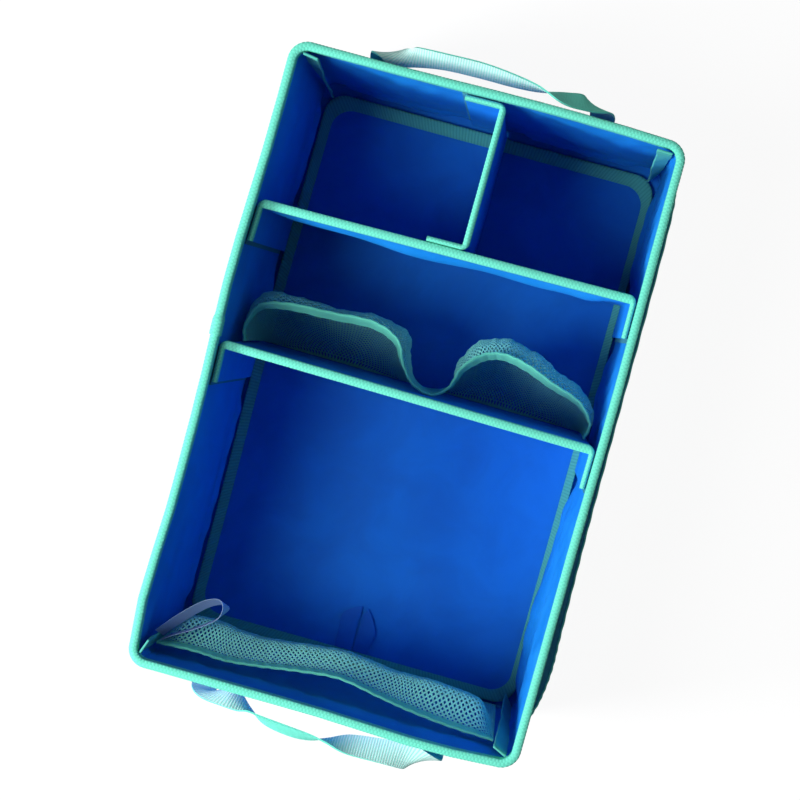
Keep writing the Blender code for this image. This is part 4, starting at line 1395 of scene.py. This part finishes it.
def make_label():
    route = [Vector((x, y, 0)) for x, y in LABEL_ROUTE]
    grid = []
    for height in spread(LABEL_LOW, LABEL_LOW + LABEL_WIDTH, 6):
        row = []
        for share in spread(0, 1, 70):
            point = along_points(route, share)
            droop = -0.006 * math.sin(math.pi * share)
            lean = 0.30 * (height - LABEL_LOW) * (1 - smooth((share - 0.45) / 0.15))
            row.append(Vector((point.x - lean, point.y + lean, height + droop)))
        grid.append(row)
    label = thick_sheet("blank_label", grid, 0.0005, [SATIN])
    sew_in(label, "label_loop", "corner_binding_near_left")


make_label()

# %% [markdown]
# ## Webbing handles
#
# Each handle is one strap, sewn flat to the wall at its ends. Between them it turns over, so
# that its ribbed face shows along some stretches and its smooth face along others.

# %% Handles
# Each row is a place, as x, distance off the wall and height, and the way the strap's width runs.
FAR_HANDLE = [
    ((-0.1115, 0.0, 0.200), (1, 0, 0)),
    ((-0.1115, 0.0003, 0.225), (1, 0, 0)),
    ((-0.1115, 0.0050, 0.247), (1, 0, 0)),
    ((-0.1105, 0.0105, 0.262), (1, 0.05, -0.05)),
    ((-0.1030, 0.0125, 0.2715), (0.80, 0.45, -0.20)),
    ((-0.0920, 0.0105, 0.2765), (0.45, 0.62, 0.30)),
    ((-0.0760, 0.0140, 0.279), (0, 0.62, 0.70)),
    ((-0.0490, 0.0163, 0.281), (0, 0.51, 0.86)),
    ((-0.0155, 0.0167, 0.281), (0, 0.49, 0.87)),
    ((0.0150, 0.0150, 0.281), (0, 0.38, 0.92)),
    ((0.0420, 0.0133, 0.280), (0, 0.12, 0.99)),
    ((0.0700, 0.0112, 0.280), (0, -0.52, 0.85)),
    ((0.0900, 0.0125, 0.2765), (0.40, -0.60, 0.69)),
    ((0.1040, 0.0115, 0.268), (0.88, -0.12, 0.45)),
    ((0.1085, 0.0075, 0.254), (1, 0, 0.1)),
    ((0.1085, 0.0015, 0.237), (1, 0, 0)),
    ((0.1085, 0.0, 0.218), (1, 0, 0)),
    ((0.1085, 0.0, 0.200), (1, 0, 0)),
]
NEAR_HANDLE = [
    ((-0.1190, 0.0, 0.200), (1, 0, 0)),
    ((-0.1190, 0.0003, 0.225), (1, 0, 0)),
    ((-0.1190, 0.0050, 0.247), (1, 0, 0)),
    ((-0.1175, 0.0105, 0.262), (1, -0.05, -0.05)),
    ((-0.1080, 0.0105, 0.2725), (0.78, -0.45, -0.43)),
    ((-0.0930, 0.0085, 0.2765), (0.30, -0.70, -0.64)),
    ((-0.0800, 0.0110, 0.2775), (0, -0.50, -0.86)),
    ((-0.0690, 0.0150, 0.278), (0, 0.02, -1)),
    ((-0.0510, 0.0215, 0.279), (0, 0.42, -0.91)),
    ((-0.0250, 0.0243, 0.280), (0, 0.50, -0.87)),
    ((-0.0050, 0.0243, 0.280), (0, 0.38, -0.92)),
    ((0.0120, 0.0225, 0.280), (0, 0.02, -1)),
    ((0.0350, 0.0195, 0.280), (0, -0.62, -0.78)),
    ((0.0700, 0.0160, 0.279), (0, -0.86, -0.51)),
    ((0.0900, 0.0155, 0.2765), (0.20, -0.93, -0.20)),
    ((0.1040, 0.0155, 0.2740), (0.75, -0.60, 0.10)),
    ((0.1120, 0.0130, 0.2650), (0.99, -0.12, 0.05)),
    ((0.1120, 0.0050, 0.2480), (1, 0, 0)),
    ((0.1120, 0.0005, 0.2330), (1, 0, 0)),
    ((0.1120, 0.0, 0.218), (1, 0, 0)),
    ((0.1120, 0.0, 0.200), (1, 0, 0)),
]
WEBBING_WIDTH = 0.025
WEBBING = 0.0016
WEBBING_OFF = GAP + 0.0009
WEBBING_RIB = 0.00012


def make_handle(wall, route):
    facing, run_way = WALLS[wall]
    centres = [Vector(centre) for centre, _ in route]
    widths = [Vector(width).normalized() for _, width in route]

    def place(share, across):
        centre = along_points(centres, share)
        width = along_points(widths, share).normalized()
        x = centre.x + width.x * across
        face = wall_distance(wall) + bow(wall, x * run_way.x, centre.z) + WEBBING_OFF
        out = face + centre.y + width.y * across
        return Vector((x, facing.y * out, centre.z + width.z * across))

    shares = spread(0, 1, 520)
    travelled = lengths([place(share, 0.0) for share in shares])
    grid = []
    for across in spread(-WEBBING_WIDTH / 2, WEBBING_WIDTH / 2, 10):
        row = []
        for share, distance in zip(shares, travelled):
            point = place(share, across)
            ahead = place(min(1.0, share + 0.002), across) - place(max(0.0, share - 0.002), across)
            side = place(share, across + 0.001) - place(share, across - 0.001)
            normal = ahead.cross(side).normalized()
            row.append(point + normal * (rib(distance, WEBBING_PITCH, WEBBING_RIB) - WEBBING_RIB / 2))
        grid.append(row)
    # The ribbed face's material carries a painted highlight on its crests.
    strap = thick_sheet(f"{wall}_webbing", grid, WEBBING, [RIBBED_WEBBING_PAINTED_HIGHLIGHT, WEBBING_SMOOTH], back=1)
    sew_in(strap, f"{wall}_handle", f"cover_{wall}")


make_handle("far", FAR_HANDLE)
make_handle("near", NEAR_HANDLE)

# %% [markdown]
# ## CAD pieces that stay
#
# Boards, hook and loop strips, the bottom cloth and the floor board's underside have the right
# shape already. They only get their finish.

# %% Finishes for the CAD pieces
for node_name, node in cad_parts.items():
    if "board" in node_name and "cloth" not in node_name and "binding" not in node_name:
        finish = BOARD
    elif "_hook_" in node_name:
        finish = HOOKS
    elif "_loop_" in node_name:
        finish = LOOPS
    else:
        finish = BLUE
    for slot in node.material_slots:
        slot.material = finish

# %% [markdown]
# ## Floor, light and camera
#
# The photo looks almost straight down into the bag from about two metres above the rim. One
# large lamp stands low to the left, so that the left wall shades the floor and the right wall is
# bright, and a wider, weaker one fills from higher up.


# %% Stage
FLOOR_SIZE = 6.0
FLOOR_GLOW = 1.06
FLOOR_GLOW_SHARE = 0.88
WORLD_LIGHT = 0.12
AIM = (0.0, 0.0, 0.15)


def make_stage():
    mesh = bpy.data.meshes.new("studio_floor")
    size = FLOOR_SIZE
    corners = [(-size, -size, 0), (size, -size, 0), (size, size, 0), (-size, size, 0)]
    mesh.from_pydata(corners, [], [(0, 1, 2, 3)])
    ground = new_object("studio_floor", mesh)
    ground.location.z = -0.0005
    material = bpy.data.materials.new("pale floor")
    material.use_nodes = True
    tree = material.node_tree
    shader = tree.nodes["Principled BSDF"]
    shader.inputs["Base Color"].default_value = (0.86, 0.86, 0.86, 1.0)
    shader.inputs["Roughness"].default_value = 0.9
    output = tree.nodes["Material Output"]
    light = tree.nodes.new("ShaderNodeEmission")
    light.inputs["Strength"].default_value = FLOOR_GLOW
    rays = tree.nodes.new("ShaderNodeLightPath")
    seen = math_node(tree, "MAXIMUM", rays.outputs["Is Camera Ray"], rays.outputs["Is Glossy Ray"])
    share = math_node(tree, "MULTIPLY", seen, FLOOR_GLOW_SHARE)
    mix = tree.nodes.new("ShaderNodeMixShader")
    tree.links.new(share, mix.inputs[0])
    tree.links.new(shader.outputs[0], mix.inputs[1])
    tree.links.new(light.outputs[0], mix.inputs[2])
    tree.links.new(mix.outputs[0], output.inputs["Surface"])
    mesh.materials.append(material)


def add_lamp(name, place, size, power):
    lamp = bpy.data.lights.new(name, "AREA")
    lamp.shape = "DISK"
    lamp.size = size
    lamp.energy = power
    thing = bpy.data.objects.new(name, lamp)
    thing.location = place
    thing.rotation_euler = (Vector(place) - Vector(AIM)).to_track_quat("Z", "Y").to_euler()
    bpy.context.scene.collection.objects.link(thing)


def make_world():
    world = bpy.data.worlds.new("studio")
    bpy.context.scene.world = world
    world.use_nodes = True
    tree = world.node_tree
    back = tree.nodes["Background"]
    back.inputs["Color"].default_value = (1.0, 1.0, 1.0, 1.0)
    rays = tree.nodes.new("ShaderNodeLightPath")
    seen = math_node(tree, "MAXIMUM", rays.outputs["Is Camera Ray"], rays.outputs["Is Transmission Ray"])
    strength = math_node(tree, "MULTIPLY_ADD", seen, 1 - WORLD_LIGHT, WORLD_LIGHT)
    tree.links.new(strength, back.inputs["Strength"])


def make_camera():
    data = bpy.data.cameras.new("photo camera")
    data.sensor_width = 36.0
    data.lens = 101.2
    data.shift_x = -0.06
    camera = bpy.data.objects.new("photo camera", data)
    camera.location = (0.0981, 0.1014, 2.4383)
    camera.rotation_euler = (math.radians(-1.7668), math.radians(2.1426), math.radians(15.3715))
    bpy.context.scene.collection.objects.link(camera)
    bpy.context.scene.camera = camera


make_stage()
make_world()
add_lamp("left lamp", (-1.90, -0.95, 1.65), 0.8, 64.0)
add_lamp("top lamp", (-1.00, -0.50, 2.35), 1.0, 30.0)
make_camera()
bpy.context.scene.view_settings.view_transform = "Standard"
